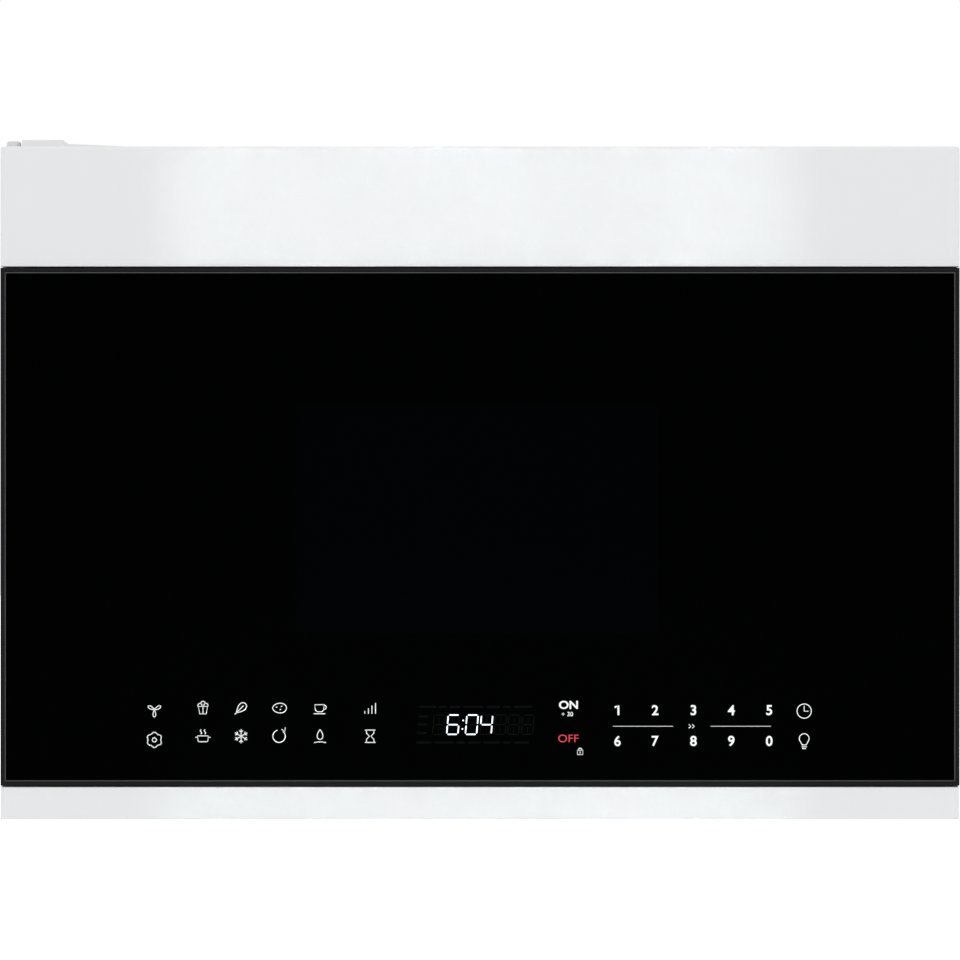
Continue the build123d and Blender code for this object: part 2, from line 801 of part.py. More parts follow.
display_x = (display_middle_x - display_width / 2, display_middle_x + display_width / 2)
display_z = (display_middle_z - display_height / 2, display_middle_z + display_height / 2)
with BuildPart() as touch_board:
    slab(
        (-touch_width / 2, touch_width / 2), (glass_back_y, glass_back_y + board_thickness),
        (touch_low, touch_high),
    )
    slab(
        (display_x[0] - seat_gap, display_x[1] + seat_gap),
        (glass_back_y - sheet, glass_back_y + 2 * board_thickness),
        (display_z[0] - seat_gap, display_z[1] + seat_gap), Mode.SUBTRACT,
    )
    # driver chips and the cable socket on its back
    chip_y = glass_back_y + board_thickness + chip_height / 2
    with Locations(*[(x, chip_y, display_middle_z) for x in chip_xs]):
        Box(chip_side, chip_height, chip_side)
keep(touch_board, "touch_board")

with BuildPart() as display_module:
    slab(display_x, (glass_back_y, glass_back_y + display_depth), display_z)
    chamfer(display_module.edges().filter_by(Axis.Y), length=sheet)
keep(display_module, "display_module")

plateau_x = cavity_x + choke_overlap
plateau_z = (cavity_floor - choke_overlap, cavity_roof + choke_overlap)
channel_x = plateau_x + choke_width
channel_z = (plateau_z[0] - choke_width, plateau_z[1] + choke_width)
channel_front_y = panel_back_y - choke_depth - sheet
window_x = (-window_width / 2, window_width / 2)
window_z = (window_low, window_high)
hook_slot_zs = [
    (z - arm_height / 2 - barb_drop - latch_play, z + arm_height / 2 + latch_travel + latch_play)
    for z in hook_zs
]

bar_x = (latch_x - latch_bar_width / 2, latch_x + latch_bar_width / 2)
bar_y = (panel_front_y - pin_bore_clearance - latch_bar_depth, panel_front_y - pin_bore_clearance)
bar_middle_y = sum(bar_y) / 2
spring_top_z = latch_bar_high + spring_length

with BuildPart() as choke_panel:
    slab(
        (-door_inner_x + seat_gap, door_inner_x - seat_gap), (panel_front_y, panel_back_y),
        (door_inner_low + seat_gap, door_inner_high - seat_gap),
    )
    slab((-channel_x, channel_x), (channel_front_y, panel_back_y), channel_z)
    # quarter-wave channel, open to the rear, round a raised plateau
    with BuildSketch(plane_at_y(panel_back_y)):
        with Locations((0, sum(channel_z) / 2)):
            Rectangle(2 * (channel_x - sheet), channel_z[1] - channel_z[0] - 2 * sheet)
            Rectangle(2 * plateau_x, plateau_z[1] - plateau_z[0], mode=Mode.SUBTRACT)
    extrude(amount=choke_depth, mode=Mode.SUBTRACT)
    slab(
        (-plateau_x + sheet, plateau_x - sheet), (channel_front_y - sheet, panel_front_y),
        (plateau_z[0] + sheet, plateau_z[1] - sheet), Mode.SUBTRACT,
    )
    slab(window_x, (panel_front_y - sheet, panel_back_y + sheet), window_z, Mode.SUBTRACT)
    for slot_z in hook_slot_zs:
        slab(slot_x, (panel_front_y - sheet, panel_back_y + sheet), slot_z, Mode.SUBTRACT)
    for side in (-1, 1):
        for z in boss_zs:
            hole((side * boss_x, panel_front_y - sheet, z), "Y", screw_hole_radius, 3 * sheet)
    # loops that guide the latch bar, and the lug its spring pushes on
    bar_room_x = (bar_x[0] - pin_bore_clearance, bar_x[1] + pin_bore_clearance)
    bar_room_y = (bar_y[0] - pin_bore_clearance, panel_front_y)
    for z in guide_zs:
        loop_z = (z - guide_length / 2, z + guide_length / 2)
        slab(
            (bar_room_x[0] - guide_sheet, bar_room_x[1] + guide_sheet),
            (bar_room_y[0] - guide_sheet, panel_front_y), loop_z,
        )
        slab(bar_room_x, bar_room_y, (loop_z[0] - sheet, loop_z[1] + sheet), Mode.SUBTRACT)
    slab(bar_x, (bar_y[0], panel_front_y), (spring_top_z, spring_top_z + guide_sheet))
keep(choke_panel, "choke_panel")

with BuildPart() as door_screen:
    screen_x = (window_x[0] - screen_margin, window_x[1] + screen_margin)
    screen_z = (window_z[0] - screen_margin, window_z[1] + screen_margin)
    screen_columns = int(window_width // screen_pitch) + 1
    screen_rows = int((window_high - window_low) // screen_pitch) + 1
    slab(screen_x, (panel_front_y - screen_thickness, panel_front_y), screen_z)
    with BuildSketch(plane_at_y(panel_front_y)):
        with Locations(((window_x[0] + window_x[1]) / 2, (window_z[0] + window_z[1]) / 2)):
            with GridLocations(screen_pitch, screen_pitch, screen_columns, screen_rows):
                Circle(screen_hole_radius)
    extrude(amount=screen_thickness, mode=Mode.SUBTRACT)
keep(door_screen, "door_screen")

pane_z = (window_z[0] - pane_margin, window_z[1] + pane_margin)
pane_side_x = window_width / 2 + pane_margin
with BuildPart() as inner_window:
    slab((-pane_side_x, pane_side_x), (panel_back_y, panel_back_y + pane_thickness), pane_z)
    fillet(inner_window.edges().filter_by(Axis.Y), radius=pane_corner)
keep(inner_window, "inner_window")

with BuildPart() as choke_cover:
    slab(
        (-door_inner_x + seat_gap, door_inner_x - seat_gap), (panel_back_y, door_back_y),
        (door_inner_low + seat_gap, door_inner_high - seat_gap),
    )
    with BuildSketch(plane_at_y(panel_back_y - sheet)):
        with Locations((0, sum(pane_z) / 2)):
            RectangleRounded(2 * (pane_side_x + seat_gap), pane_z[1] - pane_z[0] + 2 * seat_gap, pane_corner)
    extrude(amount=-(cover_thickness + 2 * sheet), mode=Mode.SUBTRACT)
    for slot_z in hook_slot_zs:
        slab(slot_x, (panel_back_y - sheet, door_back_y + sheet), slot_z, Mode.SUBTRACT)
    # holes that sink the screw heads below the rear face
    for side in (-1, 1):
        for z in boss_zs:
            hole((side * boss_x, panel_back_y - sheet, z), "Y", screw_head_radius + seat_gap, 4 * sheet)
keep(choke_cover, "choke_cover")

with BuildPart() as door_screws:
    for side in (-1, 1):
        for z in boss_zs:
            rod((side * boss_x, panel_back_y, z), "Y", screw_head_radius, cover_thickness - seat_gap)
            rod((side * boss_x, panel_back_y, z), "Y", screw_radius, -screw_length + sheet)
keep(door_screws, "door_screws")

with BuildPart() as latch_bar:
    slab(bar_x, bar_y, (latch_bar_low, latch_bar_high))
    chamfer(latch_bar.edges().filter_by(Axis.Z), length=seat_gap)
    rod((latch_x, bar_middle_y, latch_bar_high), "Z", spring_peg_radius, spring_peg_height)
    # two hooks through the door's rear, each with a barb that drops behind its catch
    tip_y = face_y + arm_reach
    for z in hook_zs:
        arm_z = (z - arm_height / 2, z + arm_height / 2)
        slab(bar_x, (bar_middle_y, tip_y), arm_z)
        with BuildSketch(plane_at_x(bar_x[0])):
            with BuildLine():
                Polyline(
                    (tip_y - barb_length, arm_z[0]),
                    (tip_y - barb_length, arm_z[0] - barb_drop),
                    (tip_y - barb_length / 4, arm_z[0] - barb_drop),
                    (tip_y, arm_z[0]),
                    close=True,
                )
            make_face()
        extrude(amount=latch_bar_width)
keep(latch_bar, "latch_bar")

with BuildPart() as latch_spring:
    coil_height = spring_length - 2 * spring_wire_radius
    coil_start = (latch_x, bar_middle_y, latch_bar_high + spring_wire_radius)
    with BuildLine():
        Helix(pitch=spring_pitch, height=coil_height, radius=spring_radius, center=coil_start)
    with BuildSketch(Plane.XZ.offset(-bar_middle_y)):
        with Locations((latch_x + spring_radius, coil_start[2])):
            Circle(spring_wire_radius)
    sweep(is_frenet=True)
keep(latch_spring, "latch_spring")

# ============================================================ hinges and door catch on the cabinet
leaf_x = (-half_width + band_wall + seat_gap, -half_width + band_wall + seat_gap + leaf_length)
leaf_front_y = hinge_y - pin_room
for name, leaf_z, flange_z, pin_step in (
    ("hinge_lower", (leaf_low_z, leaf_low_z + leaf_thickness), (leaf_low_z - leaf_drop, leaf_low_z), 1),
    ("hinge_upper", (leaf_high_z, leaf_high_z + leaf_thickness),
     (leaf_high_z + leaf_thickness, leaf_high_z + leaf_thickness + leaf_drop), -1),
):
    with BuildPart() as hinge:
        slab(leaf_x, (leaf_front_y, face_y), leaf_z)
        slab(leaf_x, (face_y - leaf_thickness, face_y), flange_z)
        fillet(hinge.edges().filter_by(Axis.Z).group_by(Axis.Y)[0], radius=pin_room / 2)
        pin_length = leaf_thickness + band_wall + door_clear + pin_engagement
        pin_foot = leaf_z[0] if pin_step > 0 else leaf_z[1]
        rod((hinge_x, hinge_y, pin_foot), "Z", pin_radius, pin_step * pin_length)
    keep(hinge, name)

board_front_y = face_y + sheet
board_x = (latch_x - latch_board_width / 2, latch_x + latch_board_width / 2)
board_z = (hook_low_z - board_margin_low, hook_high_z + board_margin_high)
barb_y = (tip_y - barb_length, tip_y)
catch_y = (barb_y[0] - latch_play - catch_length, barb_y[0] - latch_play / 4)
switch_y = (catch_y[1] + seat_gap, catch_y[1] + seat_gap + switch_length)
plunger_y = (barb_y[0] + barb_y[1]) / 2 - plunger_radius
switch_lanes = (  # hook height and middle of each switch across the hook
    (hook_low_z, latch_x),
    (hook_high_z, latch_x - switch_width / 2 - plunger_radius / 4),
    (hook_high_z, latch_x + switch_width / 2 + plunger_radius / 4),
)

with BuildPart() as latch_board:
    slab(board_x, (board_front_y, board_front_y + latch_board_depth), board_z)
    # room behind the face plate for each hook, its lift and the switches below it
    for z in hook_zs:
        slab(
            slot_x, (board_front_y - sheet, board_front_y + latch_board_depth - board_wall),
            (
                z - arm_height / 2 - barb_drop - switch_height - plunger_out,
                z + arm_height / 2 + latch_travel + latch_play,
            ),
            Mode.SUBTRACT,
        )
        catch_top = z - arm_height / 2 - barb_drop + catch_rise
        slab(slot_x, catch_y, (catch_top - catch_height, catch_top))
        slab(
            slot_x, (board_front_y, catch_y[1]),
            (z - arm_height / 2 - barb_drop - switch_height - plunger_out, catch_top - catch_height),
        )
    # recess that lightens the middle
    slab(
        (board_x[0] + board_wall, board_x[1] - board_wall),
        (board_front_y + board_wall, board_front_y + latch_board_depth + sheet),
        (hook_low_z + board_recess, hook_high_z - board_recess), Mode.SUBTRACT,
    )
keep(latch_board, "latch_board")

with BuildPart() as interlock_switches:
    for z, x in switch_lanes:
        top = z - arm_height / 2 - barb_drop - plunger_out
        slab((x - switch_width / 2, x + switch_width / 2), switch_y, (top - switch_height, top))
        hole((x, plunger_y, top + sheet), "Z", plunger_radius + pin_bore_clearance, -plunger_bore - sheet)
keep(interlock_switches, "interlock_switches")

for number, (z, x) in enumerate(switch_lanes, start=1):
    with BuildPart() as plunger:
        head = z - arm_height / 2 - barb_drop - pin_bore_clearance
        rod((x, plunger_y, head), "Z", plunger_radius, -plunger_length)
        fillet(plunger.edges().group_by(Axis.Z)[-1], radius=plunger_radius / 3)
    keep(plunger, f"plunger_{number}")

# ============================================================ roof: cord outlet, duct collar and bolt nuts
with BuildPart() as cord_gland:
    rod(gland, "Z", gland_radius, gland_height)
    fillet(cord_gland.edges().group_by(Axis.Z)[-1], radius=gland_radius - gland_bore_radius)
    rod(gland, "Z", gland_neck_radius, -gland_neck_length)
    hole((gland[0], gland[1], body_height + gland_height + sheet), "Z", gland_bore_radius,
        -(gland_height + gland_neck_length + 2 * sheet))
keep(cord_gland, "cord_gland")

with BuildPart() as cord_outlet:
    block_x = (-half_width + outlet_left, -half_width + outlet_left + outlet_width)
    block_y = (face_y + outlet_front, face_y + outlet_front + outlet_depth)
    with BuildSketch(plane_at_y(block_y[0])):
        with BuildLine():
            Polyline(
                (block_x[0], body_height),
                (block_x[0], body_height + outlet_height),
                (block_x[1], body_height + outlet_height),
                (block_x[1], body_height + outlet_tail_rise),
                (block_x[1] + outlet_tail, body_height + outlet_tail_end),
                (block_x[1] + outlet_tail, body_height),
                close=True,
            )
        make_face()
    extrude(amount=-outlet_depth)
    fillet(cord_outlet.edges().filter_by(Axis.Y).group_by(Axis.Z)[-1], radius=sheet / 2)
keep(cord_outlet, "cord_outlet")

collar_x = (-duct_width / 2, duct_width / 2)
collar_y = (duct_front_y, duct_rear_y)
flap_axis_y = duct_rear_y - duct_wall - flap_axis_inset
flap_axis_z = body_height + flap_low + flap_thickness / 2
with BuildPart() as duct_collar:
    slab(
        (collar_x[0] - duct_flange, collar_x[1] + duct_flange),
        (collar_y[0] - duct_flange, collar_y[1] + duct_flange),
        (body_height, body_height + duct_wall),
    )
    slab(collar_x, collar_y, (body_height, body_height + duct_height))
    slab(
        (collar_x[0] + duct_wall, collar_x[1] - duct_wall),
        (collar_y[0] + duct_wall, collar_y[1] - duct_wall),
        (body_height - sheet, body_height + duct_height + sheet), Mode.SUBTRACT,
    )
    hole((collar_x[0] - sheet, flap_axis_y, flap_axis_z), "X", flap_pin_radius + pin_bore_clearance,
        duct_width + 2 * sheet)
keep(duct_collar, "duct_collar")

with BuildPart() as damper_flap:
    flap_x = (collar_x[0] + duct_wall + flap_clearance, collar_x[1] - duct_wall - flap_clearance)
    slab(
        flap_x, (collar_y[0] + duct_wall + flap_clearance, flap_axis_y),
        (flap_axis_z - flap_thickness / 2, flap_axis_z + flap_thickness / 2),
    )
    rod((collar_x[0] + seat_gap, flap_axis_y, flap_axis_z), "X", flap_pin_radius, duct_width - 2 * seat_gap)
keep(damper_flap, "damper_flap")

with BuildPart() as bolt_nuts:
    for side in (-1, 1):
        nut = (side * bolt_spacing / 2, bolt_middle_y)
        slab(
            (nut[0] - bolt_plate_side / 2, nut[0] + bolt_plate_side / 2),
            (nut[1] - bolt_plate_side / 2, nut[1] + bolt_plate_side / 2),
            (roof_z - 2 * sheet, roof_z),
        )
        with BuildSketch(plane_at_z(roof_z - bolt_nut_height)):
            with Locations(nut):
                RegularPolygon(bolt_nut_flats / 2, 6, major_radius=False)
        extrude(amount=bolt_nut_height)
        hole((nut[0], nut[1], roof_z + sheet), "Z", bolt_hole_radius, -(bolt_nut_height + 2 * sheet))
keep(bolt_nuts, "bolt_nuts")

# ============================================================ blower
shell_inner_x = blower_motor_length / 2 + blower_gap / 2
shell_outer_x = shell_inner_x + 2 * scroll_wall + wheel_width + 2 * blower_gap
motor_low_z = blower_middle_z - blower_motor_radius
with BuildPart() as blower_housing:
    for side in (-1, 1):
        with BuildSketch(plane_at_x(side * shell_inner_x)) as shell:
            with Locations((blower_middle_y, blower_middle_z)):
                Circle(scroll_radius)
            with Locations((blower_middle_y, (blower_middle_z + roof_z) / 2)):
                Rectangle(2 * scroll_radius, roof_z - blower_middle_z)
        extrude(shell.sketch, amount=side * (shell_outer_x - shell_inner_x))
        with BuildSketch(plane_at_x(side * (shell_inner_x + scroll_wall))) as inside:
            with Locations((blower_middle_y, blower_middle_z)):
                Circle(scroll_radius - scroll_wall)
            with Locations((blower_middle_y, (blower_middle_z + roof_z + sheet) / 2)):
                Rectangle(2 * (scroll_radius - scroll_wall), roof_z + sheet - blower_middle_z)
        extrude(
            inside.sketch,
            amount=side * (shell_outer_x - shell_inner_x - 2 * scroll_wall),
            mode=Mode.SUBTRACT,
        )
        # inlets on both faces of the scroll
        rod((side * (shell_inner_x - sheet), blower_middle_y, blower_middle_z), "X", inlet_radius,
            side * (shell_outer_x - shell_inner_x + 2 * sheet), Mode.SUBTRACT)
        # foot on the oven's top
        foot_x = sorted((side * shell_inner_x, side * shell_outer_x))
        slab(
            foot_x, (blower_middle_y - foot_depth / 2, blower_middle_y + foot_depth / 2),
            (cavity_roof + sheet, blower_middle_z - scroll_radius + scroll_wall),
        )
    # cradle under the motor, between the two scrolls
    slab(
        (-shell_inner_x, shell_inner_x), (blower_middle_y - foot_depth / 2, blower_middle_y + foot_depth / 2),
        (motor_low_z - 2 * scroll_wall, motor_low_z),
    )
    slab(
        (-blower_motor_length / 4, blower_motor_length / 4),
        (blower_middle_y - foot_depth / 4, blower_middle_y + foot_depth / 4),
        (motor_low_z, motor_low_z + cradle_rise),
    )
    hole((-shell_inner_x + seat_gap, blower_middle_y, blower_middle_z), "X", blower_motor_radius,
        2 * (shell_inner_x - seat_gap))
keep(blower_housing, "blower_housing")

with BuildPart() as blower_motor:
    motor_end = (-blower_motor_length / 2, blower_middle_y, blower_middle_z)
    rod(motor_end, "X", blower_motor_radius, blower_motor_length)
    chamfer(blower_motor.edges().filter_by(GeomType.CIRCLE), length=motor_chamfer)
    hole((-blower_motor_length / 2 - sheet, blower_middle_y, blower_middle_z), "X",
        blower_shaft_radius + pin_bore_clearance, blower_motor_length + 2 * sheet)
    # cooling slots round both ends
    for side in (-1, 1):
        with BuildSketch(plane_at_x(side * blower_motor_length / 2)) as slots:
            with Locations((blower_middle_y, blower_middle_z)):
                with PolarLocations(blower_motor_radius * 0.6, 8):
                    SlotOverall(blower_motor_radius * 0.5, scroll_wall * 2)
        extrude(slots.sketch, amount=-side * motor_chamfer, mode=Mode.SUBTRACT)
keep(blower_motor, "blower_motor")

with BuildPart() as blower_wheels:
    wheel_start = shell_inner_x + scroll_wall + blower_gap
    for side in (-1, 1):
        disc_x = side * (wheel_start + wheel_width / 2)
        hub_low = side * wheel_start
        with BuildSketch(plane_at_x(hub_low)) as blades:
            with Locations((blower_middle_y, blower_middle_z)):
                with PolarLocations(wheel_radius - wheel_blade_length / 2 - wheel_wall / 2, wheel_blades):
                    with Locations(Location((0, 0), blade_angle)):
                        Rectangle(wheel_blade_length, wheel_wall)
        extrude(blades.sketch, amount=side * wheel_width)
        for ring_x in (wheel_start, wheel_start + wheel_width - ring_band):
            with BuildSketch(plane_at_x(side * ring_x)) as band:
                with Locations((blower_middle_y, blower_middle_z)):
                    Circle(wheel_radius)
                    Circle(wheel_radius - wheel_wall * 1.5, mode=Mode.SUBTRACT)
            extrude(band.sketch, amount=side * ring_band)
        disc_end = (disc_x - wheel_wall / 2, blower_middle_y, blower_middle_z)
        rod(disc_end, "X", wheel_radius - wheel_wall, wheel_wall)
        hub_end = (disc_x - hub_length / 2, blower_middle_y, blower_middle_z)
        rod(hub_end, "X", 2 * blower_shaft_radius, hub_length)
    shaft_x = wheel_start + wheel_width / 2 + hub_length / 2
    rod((-shaft_x, blower_middle_y, blower_middle_z), "X", blower_shaft_radius, 2 * shaft_x)
keep(blower_wheels, "blower_wheels")

# ============================================================ right side: microwave source
bay_middle_x = (cavity_out_x + inner_x) / 2
guide_x = (cavity_out_x, cavity_out_x + guide_depth)
guide_y = (port_middle_y - port_depth / 2 - guide_margin, port_middle_y + port_depth / 2 + guide_margin)
guide_z = (port_middle_z - port_height / 2 - guide_margin, port_middle_z + port_height / 2 + guide_margin)
with BuildPart() as waveguide:
    slab(guide_x, guide_y, guide_z)
    slab(
        (guide_x[0] - sheet, guide_x[1] - guide_wall),
        (guide_y[0] + guide_wall, guide_y[1] - guide_wall),
        (guide_z[0] + guide_wall, guide_z[1] - guide_wall), Mode.SUBTRACT,
    )
    hole((guide_x[1] + sheet, port_middle_y, port_middle_z), "X", antenna_radius + seat_gap, -3 * sheet)
keep(waveguide, "waveguide")

with BuildPart() as magnetron:
    yoke_x = (guide_x[1], guide_x[1] + magnetron_yoke)
    yoke_y = (port_middle_y - magnetron_depth / 2, port_middle_y + magnetron_depth / 2)
    yoke_z = (port_middle_z - magnetron_height / 2, port_middle_z + magnetron_height / 2)
    slab(yoke_x, yoke_y, yoke_z)
    slab(
        (yoke_x[0] + 2 * sheet, yoke_x[1] - 2 * sheet), (yoke_y[0] - sheet, yoke_y[1] + sheet),
        (yoke_z[0] + 2 * sheet, yoke_z[1] - 2 * sheet), Mode.SUBTRACT,
    )
    rod((yoke_x[0], port_middle_y, port_middle_z), "X", magnetron_core_radius, magnetron_yoke)
    fin_step = (magnetron_yoke - 4 * sheet) / (magnetron_fins + 1)
    for number in range(1, magnetron_fins + 1):
        fin_x = yoke_x[0] + 2 * sheet + number * fin_step
        slab((fin_x - seat_gap, fin_x + seat_gap), (yoke_y[0] + 4 * sheet, yoke_y[1] - 4 * sheet), yoke_z)
    rod((yoke_x[0], port_middle_y, port_middle_z), "X", antenna_radius, -antenna_length)
    box_half = magnetron_box_side / 2
    slab(
        (yoke_x[1], yoke_x[1] + magnetron_box), (port_middle_y - box_half, port_middle_y + box_half),
        (port_middle_z - box_half, port_middle_z + box_half),
    )
keep(magnetron, "magnetron")

fan_rear_y = rear_inner_y - fan_foot_length
fan_front_y = fan_rear_y - fan_depth
fan_hub_y = fan_rear_y - fan_motor_depth
with BuildPart() as cooling_fan_frame:
    slab(
        (bay_middle_x - fan_frame / 2, bay_middle_x + fan_frame / 2), (fan_front_y, fan_rear_y),
        (fan_middle_z - fan_frame / 2, fan_middle_z + fan_frame / 2),
    )
    fillet(cooling_fan_frame.edges().filter_by(Axis.Y), radius=standoff_radius)
    hole((bay_middle_x, fan_front_y - sheet, fan_middle_z), "Y", fan_radius + 2 * sheet, fan_depth + 2 * sheet)
    # motor on three struts, with the stub the fan turns on
    rod((bay_middle_x, fan_rear_y, fan_middle_z), "Y", fan_hub_radius + 2 * sheet, -fan_motor_depth)
    with BuildSketch(plane_at_y(fan_rear_y)) as struts:
        with Locations((bay_middle_x, fan_middle_z)):
            with PolarLocations((fan_radius + fan_hub_radius) / 2 + sheet, 3, start_angle=30):
                Rectangle(fan_radius - fan_hub_radius + 2 * sheet, 4 * sheet)
    extrude(struts.sketch, amount=fan_motor_depth / 2)
    rod((bay_middle_x, fan_hub_y, fan_middle_z), "Y", fan_shaft_radius, -fan_wheel_depth)
    # feet on the rear panel
    corner = fan_frame / 2 - 4 * standoff_radius
    for x_step in (-corner, corner):
        for z_step in (-corner, corner):
            foot = (bay_middle_x + x_step, fan_rear_y, fan_middle_z + z_step)
            rod(foot, "Y", standoff_radius, fan_foot_length)
keep(cooling_fan_frame, "cooling_fan_frame")

with BuildPart() as fan_wheel:
    wheel_back_y = fan_hub_y - 2 * seat_gap
    rod((bay_middle_x, wheel_back_y, fan_middle_z), "Y", fan_hub_radius, -fan_wheel_depth)
    for number in range(fan_blades):
        turn = number * 360 / fan_blades
        blade_middle = Location((bay_middle_x, wheel_back_y - fan_wheel_depth / 2, fan_middle_z), (0, turn, 0))
        blade_out = Location((fan_hub_radius + blade_span / 2 - sheet, 0, 0), (fan_pitch, 0, 0))
        with Locations(blade_middle * blade_out):
            Box(blade_span, sheet, blade_chord)
    hole((bay_middle_x, fan_rear_y, fan_middle_z), "Y", fan_shaft_radius + pin_bore_clearance,
        -(fan_motor_depth + 2 * fan_wheel_depth))
keep(fan_wheel, "cooling_fan_wheel")

core_low = sheet + transformer_foot
transformer_middle_y = rear_inner_y - transformer_back
core_x = (bay_middle_x - transformer_width / 2, bay_middle_x + transformer_width / 2)
core_y = (transformer_middle_y - transformer_depth / 2, transformer_middle_y + transformer_depth / 2)
core_z = (core_low, core_low + transformer_height)
window_inner = core_leg
window_outer = transformer_width / 2 - core_leg
with BuildPart() as transformer_core:
    slab(core_x, core_y, core_z)
    slab((core_x[0] - 4 * sheet, core_x[1] + 4 * sheet), core_y, (sheet, core_low))
    for side in (-1, 1):
        slab(
            sorted((bay_middle_x + side * window_inner, bay_middle_x + side * window_outer)),
            (core_y[0] - sheet, core_y[1] + sheet),
            (core_z[0] + core_leg, core_z[1] - core_leg),
            Mode.SUBTRACT,
        )
keep(transformer_core, "transformer_core")

with BuildPart() as transformer_windings:
    winding_room = (core_z[0] + core_leg, core_z[1] - core_leg)
    winding_split = sum(winding_room) / 2
    for low, high in ((winding_room[0], winding_split - seat_gap), (winding_split + seat_gap, winding_room[1])):
        with BuildSketch(plane_at_z(low)) as turns:
            with Locations((bay_middle_x, transformer_middle_y)):
                RectangleRounded(
                    2 * window_outer, transformer_depth + 2 * coil_overhang, coil_overhang - sheet,
                )
                Rectangle(2 * window_inner, transformer_depth, mode=Mode.SUBTRACT)
        extrude(turns.sketch, amount=high - low)
keep(transformer_windings, "transformer_windings")

capacitor_y = (capacitor_middle_y - capacitor_length / 2, capacitor_middle_y + capacitor_length / 2)
capacitor_middle_z = sheet + sheet / 2 + capacitor_height / 2
with BuildPart() as capacitor:
    with BuildSketch(plane_at_y(capacitor_y[0])):
        with Locations((bay_middle_x, capacitor_middle_z)):
            SlotOverall(capacitor_width, capacitor_height)
    extrude(amount=-capacitor_length)
    fillet(capacitor.edges().group_by(Axis.Y)[-1], radius=2 * sheet)
    for side in (-1, 1):
        blade_x = bay_middle_x + side * blade_spacing / 2
        slab(
            (blade_x - blade_thickness / 2, blade_x + blade_thickness / 2),
            (capacitor_y[0] - blade_length, capacitor_y[0]),
            (capacitor_middle_z - blade_width / 2, capacitor_middle_z + blade_width / 2),
        )
    # strap that screws it to the base pan
    strap_y = (capacitor_middle_y - strap_width / 2, capacitor_middle_y + strap_width / 2)
    with BuildSketch(plane_at_y(strap_y[0])):
        with Locations((bay_middle_x, capacitor_middle_z)):
            SlotOverall(capacitor_width + sheet, capacitor_height + sheet)
    extrude(amount=-strap_width)
    strap_end = bay_middle_x + capacitor_width / 2 + strap_width
    slab((bay_middle_x, strap_end), strap_y, (sheet, sheet + sheet / 2))
    # diode across the terminals
    diode_z = capacitor_middle_z + blade_width / 2 + lead_radius
    diode_y = capacitor_y[0] - blade_length + diode_radius
    lead_length = blade_spacing + 2 * sheet
    rod((bay_middle_x - lead_length / 2, diode_y, diode_z), "X", lead_radius, lead_length)
    rod((bay_middle_x - diode_length / 2, diode_y, diode_z), "X", diode_radius, diode_length)
keep(capacitor, "capacitor")

board_face_x = cavity_out_x + standoff_length + board_thickness
power_board_y = (face_y + power_board_back, face_y + power_board_back + power_board_length)
power_board_z = (cavity_roof - power_board_drop - power_board_height, cavity_roof - power_board_drop)
supply_place = (power_board_y[0] + supply_back, power_board_z[1] - supply_drop)
relay_z = power_board_z[1] - relay_drop
with BuildPart() as power_board:
    slab((board_face_x - board_thickness, board_face_x), power_board_y, power_board_z)
    for y in (power_board_y[0] + standoff_inset, power_board_y[1] - standoff_inset):
        for z in (power_board_z[0] + standoff_inset, power_board_z[1] - standoff_inset):
            rod((cavity_out_x, y, z), "X", standoff_radius, standoff_length)
    # relays, supply transformer and smoothing capacitor
    for y in [power_board_y[0] + back for back in relay_backs]:
        slab(
            (board_face_x, board_face_x + relay_size[2]), (y - relay_size[0] / 2, y + relay_size[0] / 2),
            (relay_z - relay_size[1] / 2, relay_z + relay_size[1] / 2),
        )
    slab(
        (board_face_x, board_face_x + supply_size[2]),
        (supply_place[0] - supply_size[0] / 2, supply_place[0] + supply_size[0] / 2),
        (supply_place[1] - supply_size[1] / 2, supply_place[1] + supply_size[1] / 2),
    )
    smoothing = (board_face_x, power_board_y[0] + capacitor_height, supply_place[1])
    rod(smoothing, "X", bulb_base_radius, supply_size[2])
keep(power_board, "power_board")

# ============================================================ left compartment: noise filter and oven lamp
noise_face_x = -inner_x + standoff_length + board_thickness
noise_board_y = (face_y + noise_board_back, face_y + noise_board_back + noise_board_length)
noise_board_z = (body_height - noise_board_drop - noise_board_height, body_height - noise_board_drop)
with BuildPart() as noise_board:
    slab((noise_face_x - board_thickness, noise_face_x), noise_board_y, noise_board_z)
    for y in (noise_board_y[0] + standoff_inset, noise_board_y[1] - standoff_inset):
        for z in (noise_board_z[0] + standoff_inset, noise_board_z[1] - standoff_inset):
            rod((-inner_x, y, z), "X", standoff_radius, standoff_length)
    # choke coil and suppression capacitors
    coil_middle = (
        noise_face_x + choke_coil_tube - seat_gap,
        sum(noise_board_y) / 2 - choke_coil_radius,
        sum(noise_board_z) / 2,
    )
    with Locations(Location(coil_middle, (0, 90, 0))):
        Torus(choke_coil_radius, choke_coil_tube)
    for z_step in (-1, 1):
        box_z = sum(noise_board_z) / 2 + z_step * noise_box_size[1]
        slab(
            (noise_face_x, noise_face_x + noise_box_size[2]),
            (noise_board_y[1] - standoff_inset - noise_box_size[0], noise_board_y[1] - standoff_inset),
            (box_z - noise_box_size[1] / 2, box_z + noise_box_size[1] / 2),
        )
keep(noise_board, "noise_filter_board")

